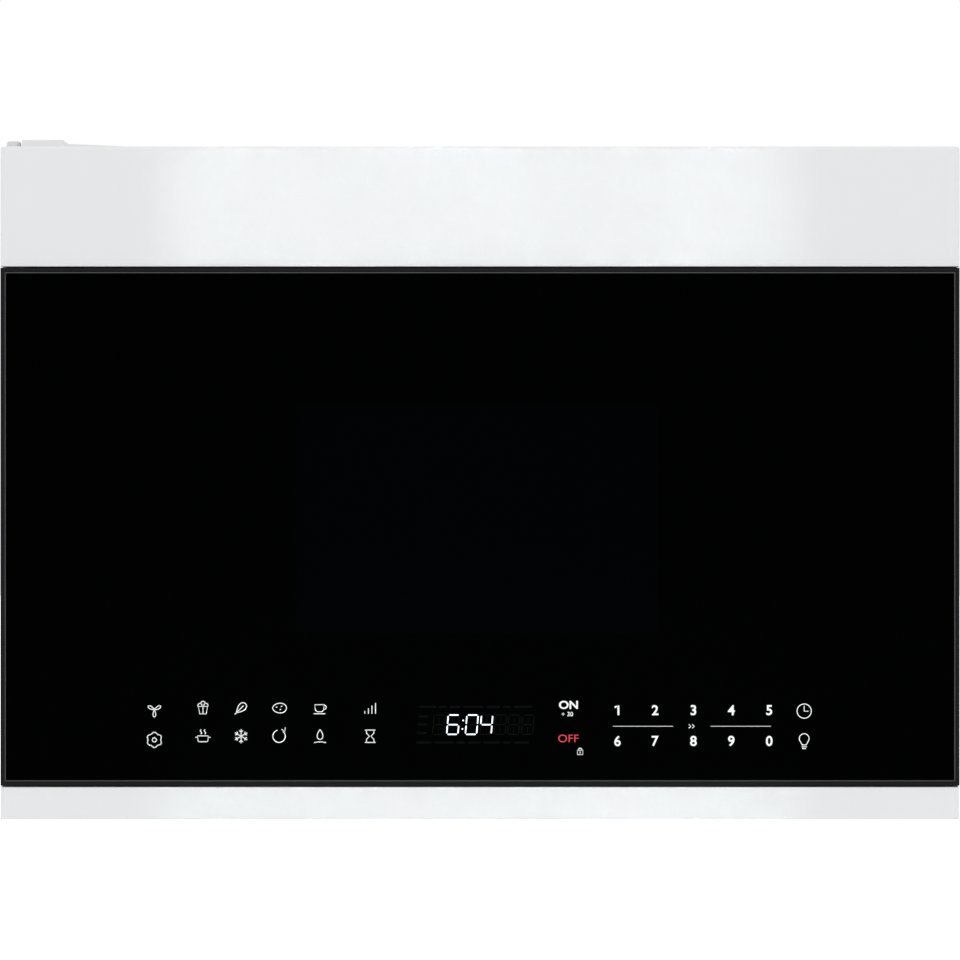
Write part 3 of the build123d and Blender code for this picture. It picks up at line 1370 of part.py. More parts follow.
lamp_box_x = (-cavity_out_x - lamp_box_depth, -cavity_out_x)
lamp_box_y = (lamp_hole_y - lamp_box_width / 2, lamp_hole_y + lamp_box_width / 2)
lamp_box_z = (lamp_hole_z - lamp_box_height / 2, lamp_hole_z + lamp_box_height / 2)
with BuildPart() as oven_lamp_box:
    slab(lamp_box_x, lamp_box_y, lamp_box_z)
    slab(
        (lamp_box_x[0] + sheet, lamp_box_x[1] + sheet), (lamp_box_y[0] + sheet, lamp_box_y[1] - sheet),
        (lamp_box_z[0] + sheet, lamp_box_z[1] - sheet), Mode.SUBTRACT,
    )
keep(oven_lamp_box, "oven_lamp_box")

with BuildPart() as oven_lamp:
    lamp_start = (lamp_box_x[0] + sheet, lamp_hole_y, lamp_hole_z)
    rod(lamp_start, "X", bulb_base_radius, bulb_radius)
    with Locations((lamp_start[0] + 1.8 * bulb_radius, lamp_hole_y, lamp_hole_z)):
        Sphere(bulb_radius)
keep(oven_lamp, "oven_lamp")

with BuildPart() as thermal_cutouts:
    rod((cavity_x - cutout_side, face_y + cutout_back, cavity_roof + sheet), "Z", cutout_radius, cutout_height)
    rod((-cavity_out_x, cutout_wall[0], cutout_wall[1]), "X", cutout_radius, -cutout_height)
keep(thermal_cutouts, "thermal_cutouts")

# ============================================================ base: grease filters and cooktop lamp
for side, name in ((-1, "grease_filter_left"), (1, "grease_filter_right")):
    with BuildPart() as grease_filter:
        outer_x = (side * filter_middle_x - filter_width / 2, side * filter_middle_x + filter_width / 2)
        outer_y = (filter_middle_y - filter_depth / 2, filter_middle_y + filter_depth / 2)
        outer_z = (filter_lift, filter_lift + filter_thickness)
        slab(outer_x, outer_y, outer_z)
        slab(
            (outer_x[0] + filter_frame, outer_x[1] - filter_frame),
            (outer_y[0] + filter_frame, outer_y[1] - filter_frame), (outer_z[0] - sheet, outer_z[1] + sheet),
            Mode.SUBTRACT,
        )
        net_z = sum(outer_z) / 2
        mesh_columns = int((filter_width - 2 * filter_frame) // mesh_pitch)
        mesh_rows = int((filter_depth - 2 * filter_frame) // mesh_pitch)
        slab(
            (outer_x[0] + sheet, outer_x[1] - sheet), (outer_y[0] + sheet, outer_y[1] - sheet),
            (net_z - sheet, net_z + sheet),
        )
        with BuildSketch(plane_at_z(net_z - 2 * sheet)):
            with Locations((side * filter_middle_x, filter_middle_y)):
                with GridLocations(mesh_pitch, mesh_pitch, mesh_columns, mesh_rows):
                    Rectangle(mesh_hole, mesh_hole)
        extrude(amount=4 * sheet, mode=Mode.SUBTRACT)
    keep(grease_filter, name)

with BuildPart() as lamp_cover:
    slab(
        (-lamp_width / 2 + seat_gap, lamp_width / 2 - seat_gap),
        (lamp_middle_y - lamp_depth / 2 + seat_gap, lamp_middle_y + lamp_depth / 2 - seat_gap),
        (0, sheet),
    )
    slab(
        (-lamp_width / 2 - lamp_lip, lamp_width / 2 + lamp_lip),
        (lamp_middle_y - lamp_depth / 2 - lamp_lip, lamp_middle_y + lamp_depth / 2 + lamp_lip),
        (sheet, lamp_cover_thickness),
    )
keep(lamp_cover, "cooktop_lamp_cover")

with BuildPart() as lamp_housing:
    housing_x = (-lamp_width / 2 - lamp_housing_margin, lamp_width / 2 + lamp_housing_margin)
    housing_y = (
        lamp_middle_y - lamp_depth / 2 - lamp_lip - 2 * sheet,
        lamp_middle_y + lamp_depth / 2 + lamp_lip + 2 * sheet,
    )
    slab(housing_x, housing_y, (sheet, sheet + lamp_housing_height))
    slab(
        (housing_x[0] + sheet, housing_x[1] - sheet), (housing_y[0] + sheet, housing_y[1] - sheet),
        (0, lamp_housing_height), Mode.SUBTRACT,
    )
keep(lamp_housing, "cooktop_lamp_housing")

with BuildPart() as cooktop_lamp:
    for side in (-1, 1):
        led = (side * lamp_width / 4, lamp_middle_y, lamp_housing_height)
        rod(led, "Z", led_radius, -led_height)
        rod((led[0], led[1], led[2] - led_height), "Z", led_radius / 2, -led_height / 2)
keep(cooktop_lamp, "cooktop_lamp")

# ============================================================ wall plate
with BuildPart() as mounting_plate:
    plate_y = (wall_y - plate_thickness, wall_y)
    slab((-plate_width / 2, plate_width / 2), plate_y, (plate_bottom, plate_top))
    fillet(mounting_plate.edges().filter_by(Axis.Y), radius=standoff_length)
    with BuildSketch(plane_at_y(plate_y[0])) as cuts:
        with Locations((0, (plate_bottom + plate_top) / 2)):
            RectangleRounded(plate_window_width, plate_window_height, standoff_length)
        with Locations((0, (wall_hole_low + wall_hole_high) / 2)):
            with GridLocations(stud_spacing, wall_hole_high - wall_hole_low, 2, 2):
                Circle(wall_hole_radius)
    extrude(cuts.sketch, amount=-plate_thickness, mode=Mode.SUBTRACT)
    hook_y = (rear_inner_y - seat_gap - hook_thickness, plate_y[0])
    for side in (-1, 1):
        hook_x = side * hook_spacing / 2
        hook_side_x = (hook_x - hook_width / 2, hook_x + hook_width / 2)
        slab(hook_side_x, hook_y, (plate_bottom, plate_bottom + hook_thickness))
        slab(
            hook_side_x, (hook_y[0], hook_y[0] + hook_thickness),
            (plate_bottom, plate_bottom + hook_thickness + hook_lip),
        )
        # embossed pads that the rear panel leans on
        for z in pad_zs:
            pad = (side * (plate_width / 2 - pad_inset), rear_y, z)
            rod(pad, "Y", pad_radius, plate_standoff - plate_thickness)
keep(mounting_plate, "mounting_plate")
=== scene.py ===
"""Looks of an over the range microwave oven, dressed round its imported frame.

Lengths are in metres, in the frame's own axes: +X to the right, +Y towards the wall, +Z up.
"""

import json
import logging
import math
from collections.abc import Callable, Iterable, Iterator, Sequence
from dataclasses import dataclass, field
from enum import Enum
from functools import cache

import bmesh
import bpy
from mathutils import Matrix, Vector


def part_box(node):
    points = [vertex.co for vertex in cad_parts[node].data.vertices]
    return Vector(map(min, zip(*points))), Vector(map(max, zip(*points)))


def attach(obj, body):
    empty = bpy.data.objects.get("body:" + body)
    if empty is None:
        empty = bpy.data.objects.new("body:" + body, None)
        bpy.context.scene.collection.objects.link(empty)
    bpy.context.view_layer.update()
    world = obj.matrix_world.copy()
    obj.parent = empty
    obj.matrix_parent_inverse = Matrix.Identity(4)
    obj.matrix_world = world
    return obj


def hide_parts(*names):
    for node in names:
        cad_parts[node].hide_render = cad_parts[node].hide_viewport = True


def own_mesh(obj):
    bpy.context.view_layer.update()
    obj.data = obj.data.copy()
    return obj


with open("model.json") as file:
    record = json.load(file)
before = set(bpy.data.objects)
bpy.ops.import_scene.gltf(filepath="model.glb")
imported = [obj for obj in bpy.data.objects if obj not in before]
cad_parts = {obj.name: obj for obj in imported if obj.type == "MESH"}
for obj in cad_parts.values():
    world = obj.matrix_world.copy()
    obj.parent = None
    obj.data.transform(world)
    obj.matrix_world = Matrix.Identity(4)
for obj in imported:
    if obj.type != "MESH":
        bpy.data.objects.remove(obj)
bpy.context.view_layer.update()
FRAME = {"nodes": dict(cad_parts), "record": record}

LOG = logging.getLogger("microwave")
MM = 0.001

Color = tuple[float, float, float]
Point = tuple[float, float, float]
Flat = tuple[float, float]
Mesh = bmesh.types.BMesh
Socket = bpy.types.NodeSocket

UP = Vector((0.0, 0.0, 1.0))


# ---------------------------------------------------------------------------- shader nodes
class Draft:
    """Adds nodes to one node tree and joins them."""

    def __init__(self, tree: bpy.types.NodeTree) -> None:
        """Keeps the tree of a material, world or group."""
        self.tree = tree

    def add(self, kind: str, sockets: dict | None = None, **settings: object) -> bpy.types.Node:
        """Adds one node.

        Args:
            kind: Blender's name for the node's type.
            sockets: input names or numbers, each with a value or the output that feeds it.
            settings: the node's own settings.

        Returns:
            The new node.
        """
        made = self.tree.nodes.new(kind)
        for name, value in settings.items():
            setattr(made, name, value)
        for name, value in (sockets or {}).items():
            if isinstance(value, Socket):
                self.tree.links.new(value, made.inputs[name])
            else:
                made.inputs[name].default_value = value
        return made

    def here(self) -> Socket:
        """Gives the object's own coordinates."""
        return self.add("ShaderNodeTexCoord").outputs["Object"]

    def math(self, operation: str, first: object, second: object, clamp: bool = False) -> Socket:
        """Gives the result of one operation on two values, kept from 0 to 1 if asked."""
        made = self.add("ShaderNodeMath", {0: first, 1: second}, operation=operation, use_clamp=clamp)
        return made.outputs[0]

    def mix(self, share: object, low: object, high: object, blend: str = "MIX") -> Socket:
        """Gives a colour that is blended from two by a share of the second."""
        made = self.add("ShaderNodeMix", {0: share, 6: low, 7: high}, data_type="RGBA", blend_type=blend)
        return made.outputs[2]

    def grey(self, level: Socket) -> Socket:
        """Gives the grey of one level."""
        return self.add("ShaderNodeCombineColor", {0: level, 1: level, 2: level}).outputs[0]

    def noise(self, where: Socket, scale: object, detail: float = 3.0) -> Socket:
        """Gives noise from 0 to 1, by its features per metre and its octaves."""
        return self.add("ShaderNodeTexNoise", {"Vector": where, "Scale": scale, "Detail": detail}).outputs[0]

    def spread(self, value: object, low: float, high: float, start: float = 0.0, end: float = 1.0) -> Socket:
        """Gives a value with one range of it mapped to another, clamped."""
        return self.add("ShaderNodeMapRange", {0: value, 1: low, 2: high, 3: start, 4: end}).outputs[0]

    def seen(self) -> Socket:
        """Gives 1 for what the eye sees straight, mirrored or through glass, and 0 for other rays."""
        rays = self.add("ShaderNodeLightPath").outputs
        seen = self.math("ADD", rays["Is Camera Ray"], rays["Is Glossy Ray"], clamp=True)
        return self.math("ADD", seen, rays["Is Transmission Ray"], clamp=True)


def open_nodes(owner: bpy.types.Material | bpy.types.World) -> Draft:
    """Empties the node tree of a material or world.

    Args:
        owner: the material or world.

    Returns:
        The draft that adds its nodes.
    """
    owner.use_nodes = True
    owner.node_tree.nodes.clear()
    return Draft(owner.node_tree)


class GroupDraft(Draft):
    """Adds the nodes of a shader node group."""

    KINDS = {"VALUE": "NodeSocketFloat", "RGBA": "NodeSocketColor", "VECTOR": "NodeSocketVector"}

    def __init__(self, name: str, inputs: dict[str, object]) -> None:
        """Starts a group.

        Args:
            name: the group's name.
            inputs: names and default values of its inputs.
        """
        super().__init__(bpy.data.node_groups.new(name, "ShaderNodeTree"))
        for label, value in inputs.items():
            kind = self.KINDS["RGBA" if isinstance(value, tuple) else "VALUE"]
            made = self.tree.interface.new_socket(label, in_out="INPUT", socket_type=kind)
            made.default_value = value
        self.given = self.add("NodeGroupInput").outputs

    def put_out(self, **results: Socket) -> bpy.types.NodeTree:
        """Gives the finished group, which puts out the results under their names."""
        for label, socket in results.items():
            self.tree.interface.new_socket(label, in_out="OUTPUT", socket_type=self.KINDS[socket.type])
        self.add("NodeGroupOutput", results)
        return self.tree


WHITE_LIGHT = (1.0, 1.0, 1.0, 1.0)
GREY = (0.5, 0.5, 0.5, 1.0)
DUST = (0.48, 0.46, 0.43, 1.0)
SURFACE_INPUTS = {"Color": GREY, "Roughness": 0.5, "Scale": 400.0, "Amount": 0.1}
DUST_ROUGHNESS = 0.4
DUST_SCALE = 70.0
RUB_SCALE = 60.0
BROAD_SCALE = 9.0
ZINC_GRAIN_SCALE = 900.0
BRUSH_STRETCH = (0.02, 1.0, 1.0)


class Pattern(Enum):
    """What a surface is made of, as the eye reads it from near by."""

    MOULDED = "moulded grain"
    ENAMEL = "enamel orange peel"
    SPANGLE = "galvanised spangle"
    BRUSHED = "brushed lines"
    LAMINATED = "stacked sheets"
    WOUND = "wound wire"
    GRANULAR = "loose granules"
    BOARD = "circuit board tracks"


@cache
def surface_group(pattern: Pattern) -> bpy.types.NodeTree:
    """Builds the node group of one pattern, once.

    Args:
        pattern: the surface.

    Returns:
        The group, which puts out colour, roughness and height.
    """
    draft = GroupDraft(pattern.value.replace(" ", "_"), SURFACE_INPUTS)
    scale, amount, where = draft.given["Scale"], draft.given["Amount"], draft.here()
    tone = broad = draft.noise(where, BROAD_SCALE)
    if pattern in (Pattern.MOULDED, Pattern.ENAMEL):
        height = draft.noise(where, scale, 4.0 if pattern is Pattern.MOULDED else 1.0)
    elif pattern is Pattern.BRUSHED:
        long = draft.add("ShaderNodeMapping", {"Vector": where, "Scale": BRUSH_STRETCH}).outputs[0]
        tone = height = draft.noise(long, scale, 5.0)
    elif pattern in (Pattern.SPANGLE, Pattern.GRANULAR):
        cell = draft.add("ShaderNodeTexVoronoi", {"Vector": where, "Scale": scale}).outputs
        parts = draft.add("ShaderNodeSeparateColor", {0: cell["Color"]}).outputs
        if pattern is Pattern.SPANGLE:
            tone = parts[0]
            grain = draft.noise(where, ZINC_GRAIN_SCALE)
            height = draft.math("ADD", draft.math("MULTIPLY", tone, 0.3), grain)
        else:
            tone = parts[1]
            height = draft.math("SUBTRACT", 1.0, cell["Distance"])
    elif pattern in (Pattern.LAMINATED, Pattern.WOUND):
        height = draft.add(
            "ShaderNodeTexWave", {"Vector": where, "Scale": scale, "Distortion": 0.4, "Detail": 1.0},
            bands_direction="Y" if pattern is Pattern.LAMINATED else "Z",
        ).outputs["Fac"]
        tone = draft.math("ADD", draft.math("MULTIPLY", height, 0.7), draft.math("MULTIPLY", broad, 0.3))
    else:
        upright = {"Vector": where, "Rotation": (math.pi / 2, 0.0, 0.0)}
        turned = draft.add("ShaderNodeMapping", upright).outputs[0]
        tracks = draft.add("ShaderNodeTexBrick", {"Vector": turned, "Scale": scale, "Mortar Size": 0.03})
        tone = height = tracks.outputs["Fac"]
    level = draft.math("SUBTRACT", 1.0, draft.math("MULTIPLY", amount, draft.math("SUBTRACT", 1.0, tone)))
    gloss = draft.math("MULTIPLY", draft.math("SUBTRACT", tone, 0.5), amount)
    color = draft.mix(1.0, draft.given["Color"], draft.grey(level), "MULTIPLY")
    rough = draft.math("ADD", draft.given["Roughness"], gloss, clamp=True)
    return draft.put_out(Color=color, Roughness=rough, Height=height)


@cache
def edge_group() -> bpy.types.NodeTree:
    """Builds the group that rounds sharp edges for the light and finds where they are rubbed, once.

    Returns:
        The group, with a Normal and a Rub mask.
    """
    draft = GroupDraft("rounded_edges", {"Radius": 0.0005, "Rub": 0.0})
    round_normal = draft.add("ShaderNodeBevel", {"Radius": draft.given["Radius"]}, samples=4).outputs[0]
    true_normal = draft.add("ShaderNodeNewGeometry").outputs["Normal"]
    same = draft.add("ShaderNodeVectorMath", {0: round_normal, 1: true_normal}, operation="DOT_PRODUCT")
    patch = draft.spread(draft.noise(draft.here(), RUB_SCALE, 6.0), 0.42, 0.62)
    edge = draft.spread(same.outputs["Value"], 0.999, 0.9)
    rub = draft.math("MULTIPLY", draft.math("MULTIPLY", edge, patch), draft.given["Rub"])
    return draft.put_out(Normal=round_normal, Rub=rub)


@cache
def dust_group() -> bpy.types.NodeTree:
    """Builds the group that lays a little dust on what faces up, once.

    Returns:
        The group, with a Color and a Roughness.
    """
    draft = GroupDraft("settled_dust", {"Color": GREY, "Roughness": 0.5, "Dust": 0.0})
    normal = draft.add("ShaderNodeNewGeometry").outputs["Normal"]
    up = draft.add("ShaderNodeSeparateXYZ", {0: normal}).outputs["Z"]
    cloud = draft.spread(draft.noise(draft.here(), DUST_SCALE, 8.0), 0.25, 0.8, 0.15)
    lying = draft.math("MULTIPLY", draft.spread(up, 0.5, 1.0), cloud)
    share = draft.math("MULTIPLY", lying, draft.given["Dust"], clamp=True)
    dull = draft.math("MULTIPLY", share, DUST_ROUGHNESS)
    rough = draft.math("ADD", draft.given["Roughness"], dull, clamp=True)
    return draft.put_out(Color=draft.mix(share, draft.given["Color"], DUST), Roughness=rough)


# ---------------------------------------------------------------------------- finishes
@dataclass(frozen=True)
class Finish:
    """How one material looks. Colours are linear, and scales are features per metre."""

    slot: str
    color: Color
    roughness: float
    pattern: Pattern = Pattern.MOULDED
    scale: float = 700.0
    amount: float = 0.06
    relief: float = 0.00002
    metallic: float = 0.0
    specular: float = 0.5
    coat: float = 0.0
    coat_roughness: float = 0.08
    transmission: float = 0.0
    glow: float = 0.0
    dust: float = 0.0
    rub: float = 0.0
    rubbed: Color = (0.6, 0.6, 0.6)
    edge: float = 0.0005

    @cache
    def material(self) -> bpy.types.Material:
        """Builds the material, once.

        Returns:
            The material, named after its slot.
        """
        made = bpy.data.materials.new(self.slot + "_finish")
        draft = open_nodes(made)
        given = dict(zip(SURFACE_INPUTS, ((*self.color, 1.0), self.roughness, self.scale, self.amount)))
        pattern = surface_group(self.pattern)
        color, rough, height = draft.add("ShaderNodeGroup", given, node_tree=pattern).outputs
        if self.dust:
            given = {"Color": color, "Roughness": rough, "Dust": self.dust}
            color, rough = draft.add("ShaderNodeGroup", given, node_tree=dust_group()).outputs
        given = {"Radius": self.edge, "Rub": self.rub}
        normal, rub = draft.add("ShaderNodeGroup", given, node_tree=edge_group()).outputs
        if self.rub:
            color = draft.mix(rub, color, (*self.rubbed, 1.0))
        bump = draft.add("ShaderNodeBump", {"Height": height, "Normal": normal, "Distance": self.relief})
        shader = draft.add("ShaderNodeBsdfPrincipled", {
            "Base Color": color, "Roughness": rough, "Normal": bump.outputs[0], "Metallic": self.metallic,
            "Specular IOR Level": self.specular, "Transmission Weight": self.transmission,
            "Coat Weight": self.coat, "Coat Roughness": self.coat_roughness,
        })
        if self.glow:
            shader.inputs["Emission Color"].default_value = (*self.color, 1.0)
            shader.inputs["Emission Strength"].default_value = self.glow
        draft.add("ShaderNodeOutputMaterial", {"Surface": shader.outputs[0]})
        return made


WHITE = (0.895, 0.908, 0.918)
STEEL = (0.52, 0.53, 0.54)

FINISHES: dict[str, Finish] = {
    finish.slot: finish
    for finish in (
        Finish("case_white", WHITE, 0.42, Pattern.ENAMEL, 1400.0, 0.01, 0.000012, dust=0.1, coat=0.2),
        Finish("band_white", WHITE, 0.36, Pattern.ENAMEL, 1800.0, 0.004, 0.000004, edge=0.0007),
        Finish("galvanised", STEEL, 0.38, Pattern.SPANGLE, 240.0, 0.14, metallic=1.0, dust=0.12),
        Finish("screw_zinc", (0.63, 0.62, 0.58), 0.24, Pattern.BRUSHED, 2500.0, 0.12, metallic=1.0),
        Finish("charcoal", (0.012, 0.012, 0.013), 0.85, Pattern.GRANULAR, 420.0, 0.5, 0.0006),
        Finish("cavity_enamel", (0.60, 0.61, 0.60), 0.38, Pattern.ENAMEL, 900.0, 0.03, 0.00003),
        Finish("mica", (0.36, 0.27, 0.15), 0.45, Pattern.GRANULAR, 130.0, 0.3, 0.00005),
        Finish(
            "tray_glass", (0.93, 0.97, 0.965), 0.04, Pattern.ENAMEL, 260.0, 0.01, 0.00004, transmission=0.96,
        ),
        Finish("coupler_grey", (0.48, 0.48, 0.46), 0.5),
        Finish("ring_plastic", (0.62, 0.61, 0.56), 0.48),
        Finish(
            "door_dark", (0.0092, 0.0092, 0.0105), 0.34, Pattern.MOULDED, 1500.0, 0.05, 0.000006,
            specular=0.08, edge=0.0004,
        ),
        Finish("board_green", (0.012, 0.13, 0.045), 0.4, Pattern.BOARD, 90.0, 0.45, 0.00003),
        Finish("screen_black", (0.012, 0.012, 0.012), 0.42, Pattern.ENAMEL, 1600.0, 0.05),
        Finish(
            "window_film", (0.86, 0.89, 0.89), 0.06, Pattern.ENAMEL, 300.0, 0.01, 0.00001, transmission=0.97,
        ),
        Finish("cover_black", (0.016, 0.016, 0.017), 0.5, Pattern.MOULDED, 1300.0, 0.1, 0.00002),
        Finish("latch_white", (0.76, 0.76, 0.73), 0.42, rub=0.4, rubbed=(0.5, 0.5, 0.48)),
        Finish("spring_steel", (0.42, 0.42, 0.42), 0.3, Pattern.BRUSHED, 3000.0, 0.15, metallic=1.0),
        Finish("latch_board_grey", (0.42, 0.42, 0.41), 0.5),
        Finish("switch_black", (0.014, 0.014, 0.014), 0.45),
        Finish("plunger_red", (0.36, 0.018, 0.01), 0.4),
        Finish("gland_grey", (0.76, 0.76, 0.76), 0.5),
        Finish("outlet_grey", (0.88, 0.89, 0.88), 0.45),
        Finish("motor_grey", (0.06, 0.064, 0.07), 0.4, Pattern.ENAMEL, 900.0, 0.08, 0.00002, dust=0.4),
        Finish("wheel_black", (0.015, 0.015, 0.015), 0.46, dust=0.6),
        Finish(
            "magnetron_steel", (0.55, 0.55, 0.53), 0.3, Pattern.BRUSHED, 1500.0, 0.18, metallic=1.0, dust=0.3,
        ),
        Finish(
            "core_steel", (0.16, 0.15, 0.14), 0.42, Pattern.LAMINATED, 300.0, 0.5, 0.0002,
            metallic=0.8, dust=0.4,
        ),
        Finish("copper", (0.45, 0.13, 0.04), 0.32, Pattern.WOUND, 220.0, 0.35, 0.0004, metallic=0.9),
        Finish("can_steel", (0.55, 0.55, 0.55), 0.3, Pattern.BRUSHED, 1800.0, 0.15, metallic=1.0),
        Finish(
            "lamp_glass", (1.0, 0.93, 0.78), 0.3, Pattern.ENAMEL, 500.0, 0.02, glow=0.12, transmission=0.5,
        ),
        Finish("filter_aluminium", (0.60, 0.61, 0.62), 0.32, Pattern.BRUSHED, 1600.0, 0.12, metallic=1.0),
        Finish(
            "lamp_cover_glass", (0.86, 0.88, 0.88), 0.35, Pattern.ENAMEL, 260.0, 0.02, 0.0003,
            transmission=0.6,
        ),
        Finish("led_white", (0.95, 0.93, 0.82), 0.4, Pattern.GRANULAR, 500.0, 0.05, glow=0.3),
    )
}


# ---------------------------------------------------------------------------- meshes
def finish_piece(piece: bpy.types.Object, body: str, slot: str, look: Finish | None = None) -> None:
    """Gives a new piece its material and its place in the frame.

    Args:
        piece: the object.
        body: the body that it moves with.
        slot: the record's material slot.
        look: its finish, where the slot's own isn't meant.
    """
    piece.data.materials.append((look or FINISHES[slot]).material())
    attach(piece, body)
    LOG.info("%s rides on %s", piece.name, body)


def link_mesh(name: str, work: Mesh) -> bpy.types.Object:
    """Turns a filled bmesh into an object of the scene.

    Args:
        name: the object's name.
        work: the bmesh, which is freed.

    Returns:
        The new object.
    """
    mesh = bpy.data.meshes.new(name)
    work.to_mesh(mesh)
    work.free()
    piece = bpy.data.objects.new(name, mesh)
    bpy.context.scene.collection.objects.link(piece)
    return piece


def mesh_piece(name: str, build: Callable[[Mesh], None]) -> bpy.types.Object:
    """Makes an object from mesh code.

    Args:
        name: the object's name.
        build: a function that fills an empty bmesh.

    Returns:
        The new object, linked to the scene.
    """
    work = bmesh.new()
    build(work)
    bmesh.ops.recalc_face_normals(work, faces=work.faces)
    return link_mesh(name, work)


def even_turns(count: int) -> list[float]:
    """Gives the angles of even steps round a circle, in radians."""
    return [2 * math.pi * step / count for step in range(count)]


def skin(
    work: Mesh, rows: Sequence[Sequence[Point]], wrap: bool = False, caps: Sequence[int] = (0, -1),
) -> list[list[bmesh.types.BMVert]]:
    """Joins rows of points, each of which runs round, with quads.

    Args:
        work: the bmesh.
        rows: the rows, all with as many points.
        wrap: whether the last row joins the first.
        caps: the rows that a face closes, where none wraps.

    Returns:
        The vertices, row by row.
    """
    made = [[work.verts.new(point) for point in row] for row in rows]
    for near, far in zip(made, made[1:] + made[:1] if wrap else made[1:]):
        for here in range(len(near)):
            work.faces.new((near[here - 1], near[here], far[here], far[here - 1]))
    for cap in () if wrap else caps:
        work.faces.new(made[cap])
    return made


def step_along(path: Sequence[Vector], number: int, loop: bool) -> Vector:
    """Gives the way past one point of a path.

    Args:
        path: the points.
        number: which of them.
        loop: whether the path runs round.

    Returns:
        The step from the point before it to the point after it.
    """
    if loop:
        return path[(number + 1) % len(path)] - path[number - 1]
    return path[min(number + 1, len(path) - 1)] - path[max(number - 1, 0)]


def prism(work: Mesh, outline: Sequence[Flat], front: float, back: float) -> None:
    """Adds a closed solid with a flat outline of points (x, z), from one y to another."""
    skin(work, [[(x, y, z) for x, z in outline] for y in (front, back)])


@dataclass(frozen=True)
class Line:
    """One printed line of a sign, in millimetres from the sign's middle."""

    path: tuple[Flat, ...]
    loop: bool = False


def stroke(work: Mesh, line: Line, scale: float, middle: Flat, width: float, depth: Flat) -> None:
    """Adds a printed line of even width, with round ends where it is open.

    Args:
        work: the bmesh.
        line: the line.
        scale: how much larger than drawn.
        middle: where its origin lies, as (x, z).
        width: its width.
        depth: y of its front face and of its back face.
    """
    points = [Vector((middle[0] + u * scale * MM, middle[1] + v * scale * MM)) for u, v in line.path]
    left, right = [], []
    for here, point in enumerate(points):
        along = step_along(points, here, line.loop).normalized()
        across = Vector((-along.y, along.x)) * width / 2
        left.append(point + across)
        right.append(point - across)
    if line.loop:
        front, back = depth
        rings = ((left, front), (right, front), (right, back), (left, back))
        skin(work, [[(x, y, z) for x, z in ring] for ring, y in rings], wrap=True)
        return
    ends, turns = [], (math.pi / 4, 0.0, -math.pi / 4)
    for tip, inner in ((points[-1], points[-2]), (points[0], points[1])):
        along = (tip - inner).normalized() * width / 2
        across = Vector((-along.y, along.x))
        ends.append([tip + along * math.cos(turn) + across * math.sin(turn) for turn in turns])
    prism(work, left + ends[0] + right[::-1] + ends[1], *depth)


def mitred_frame(
    work: Mesh, low: Flat, high: Flat, section: Sequence[Flat], place: Callable[..., Point],
) -> None:
    """Adds a closed rectangular frame with mitred corners.

    Args:
        work: the bmesh.
        low: lowest corner of its outline.
        high: highest corner of its outline.
        section: points (inset from the outline, depth) round its cross section.
        place: gives the point in space for the outline's two directions and a depth.
    """
    rows = []
    for inset, depth in section:
        left, down, right, up = low[0] + inset, low[1] + inset, high[0] - inset, high[1] - inset
        rows.append([place(u, v, depth) for u, v in ((left, down), (right, down), (right, up), (left, up))])
    skin(work, rows, wrap=True)


def bent_wire(work: Mesh, path: Sequence[Vector], radius: float, sides: int = 8, loop: bool = False) -> None:
    """Adds a round wire along a path that doesn't run straight up.

    Args:
        work: the bmesh.
        path: the points of its middle line.
        radius: the wire's radius.
        sides: how many sides its section has.
        loop: whether its end joins its start.
    """
    rows = []
    for number, point in enumerate(path):
        along = step_along(path, number, loop)
        flat = along.cross(UP).normalized()
        raised = flat.cross(along).normalized()
        rows.append([point + radius * (flat * math.cos(a) + raised * math.sin(a)) for a in even_turns(sides)])
    skin(work, rows, wrap=loop)


def circle(
    middle: Flat, radius: float, count: int = 24, start: float = 0.0, turn: float = 360.0,
) -> list[Flat]:
    """Gives points round a circle or along an arc.

    Args:
        middle: its middle (x, z).
        radius: its radius.
        count: how many points.
        start: degrees of the first point.
        turn: degrees from the first point to the end.

    Returns:
        The points. A full circle doesn't repeat its first point.
    """
    steps = count if turn == 360.0 else count - 1
    angles = [math.radians(start + turn * number / steps) for number in range(count)]
    return [(middle[0] + radius * math.cos(a), middle[1] + radius * math.sin(a)) for a in angles]


# ---------------------------------------------------------------------------- printed signs
def ring(middle: Flat, radius: float, count: int = 24) -> Line:
    """Makes a round line."""
    return Line(tuple(circle(middle, radius, count)), loop=True)


def arc(middle: Flat, radius: float, start: float, turn: float, count: int = 12) -> Line:
    """Makes a part of a round line, from one angle on by a turn in degrees."""
    return Line(tuple(circle(middle, radius, count, start, turn)))


def petal(length: float, width: float, turn: float, middle: Flat = (0.0, 0.0), count: int = 20) -> Line:
    """Makes a closed drop-like outline that points away from the middle.

    Args:
        length: from its root to its tip.
        width: across its widest place.
        turn: direction of its tip in degrees.
        middle: its root.
        count: how many points.

    Returns:
        The line.
    """
    points = []
    for a in even_turns(count):
        along = length * (0.5 - 0.5 * math.cos(a))
        across = width / 2 * math.sin(a) * math.sqrt(max(along / length, 0.0) * 1.4)
        c, s = math.cos(math.radians(turn)), math.sin(math.radians(turn))
        points.append((middle[0] + along * c - across * s, middle[1] + along * s + across * c))
    return Line(tuple(points), loop=True)


def lobed_ring(lobes: int, radius: float, swell: float, count: int = 48) -> Line:
    """Makes a closed line that swells out in even lobes, one of them upwards."""
    reach = [(a, radius + swell * math.cos(lobes * (a - math.pi / 2))) for a in even_turns(count)]
    return Line(tuple((r * math.cos(a), r * math.sin(a)) for a, r in reach), loop=True)


def plump_oval(count: int = 32) -> Line:
    """Makes a closed line round a lopsided oval."""
    return Line(tuple(
        (3.9 * math.cos(a) + 0.3 * math.cos(2 * a), 2.7 * math.sin(a) + 0.35 * math.sin(2 * a))
        for a in even_turns(count)
    ), loop=True)


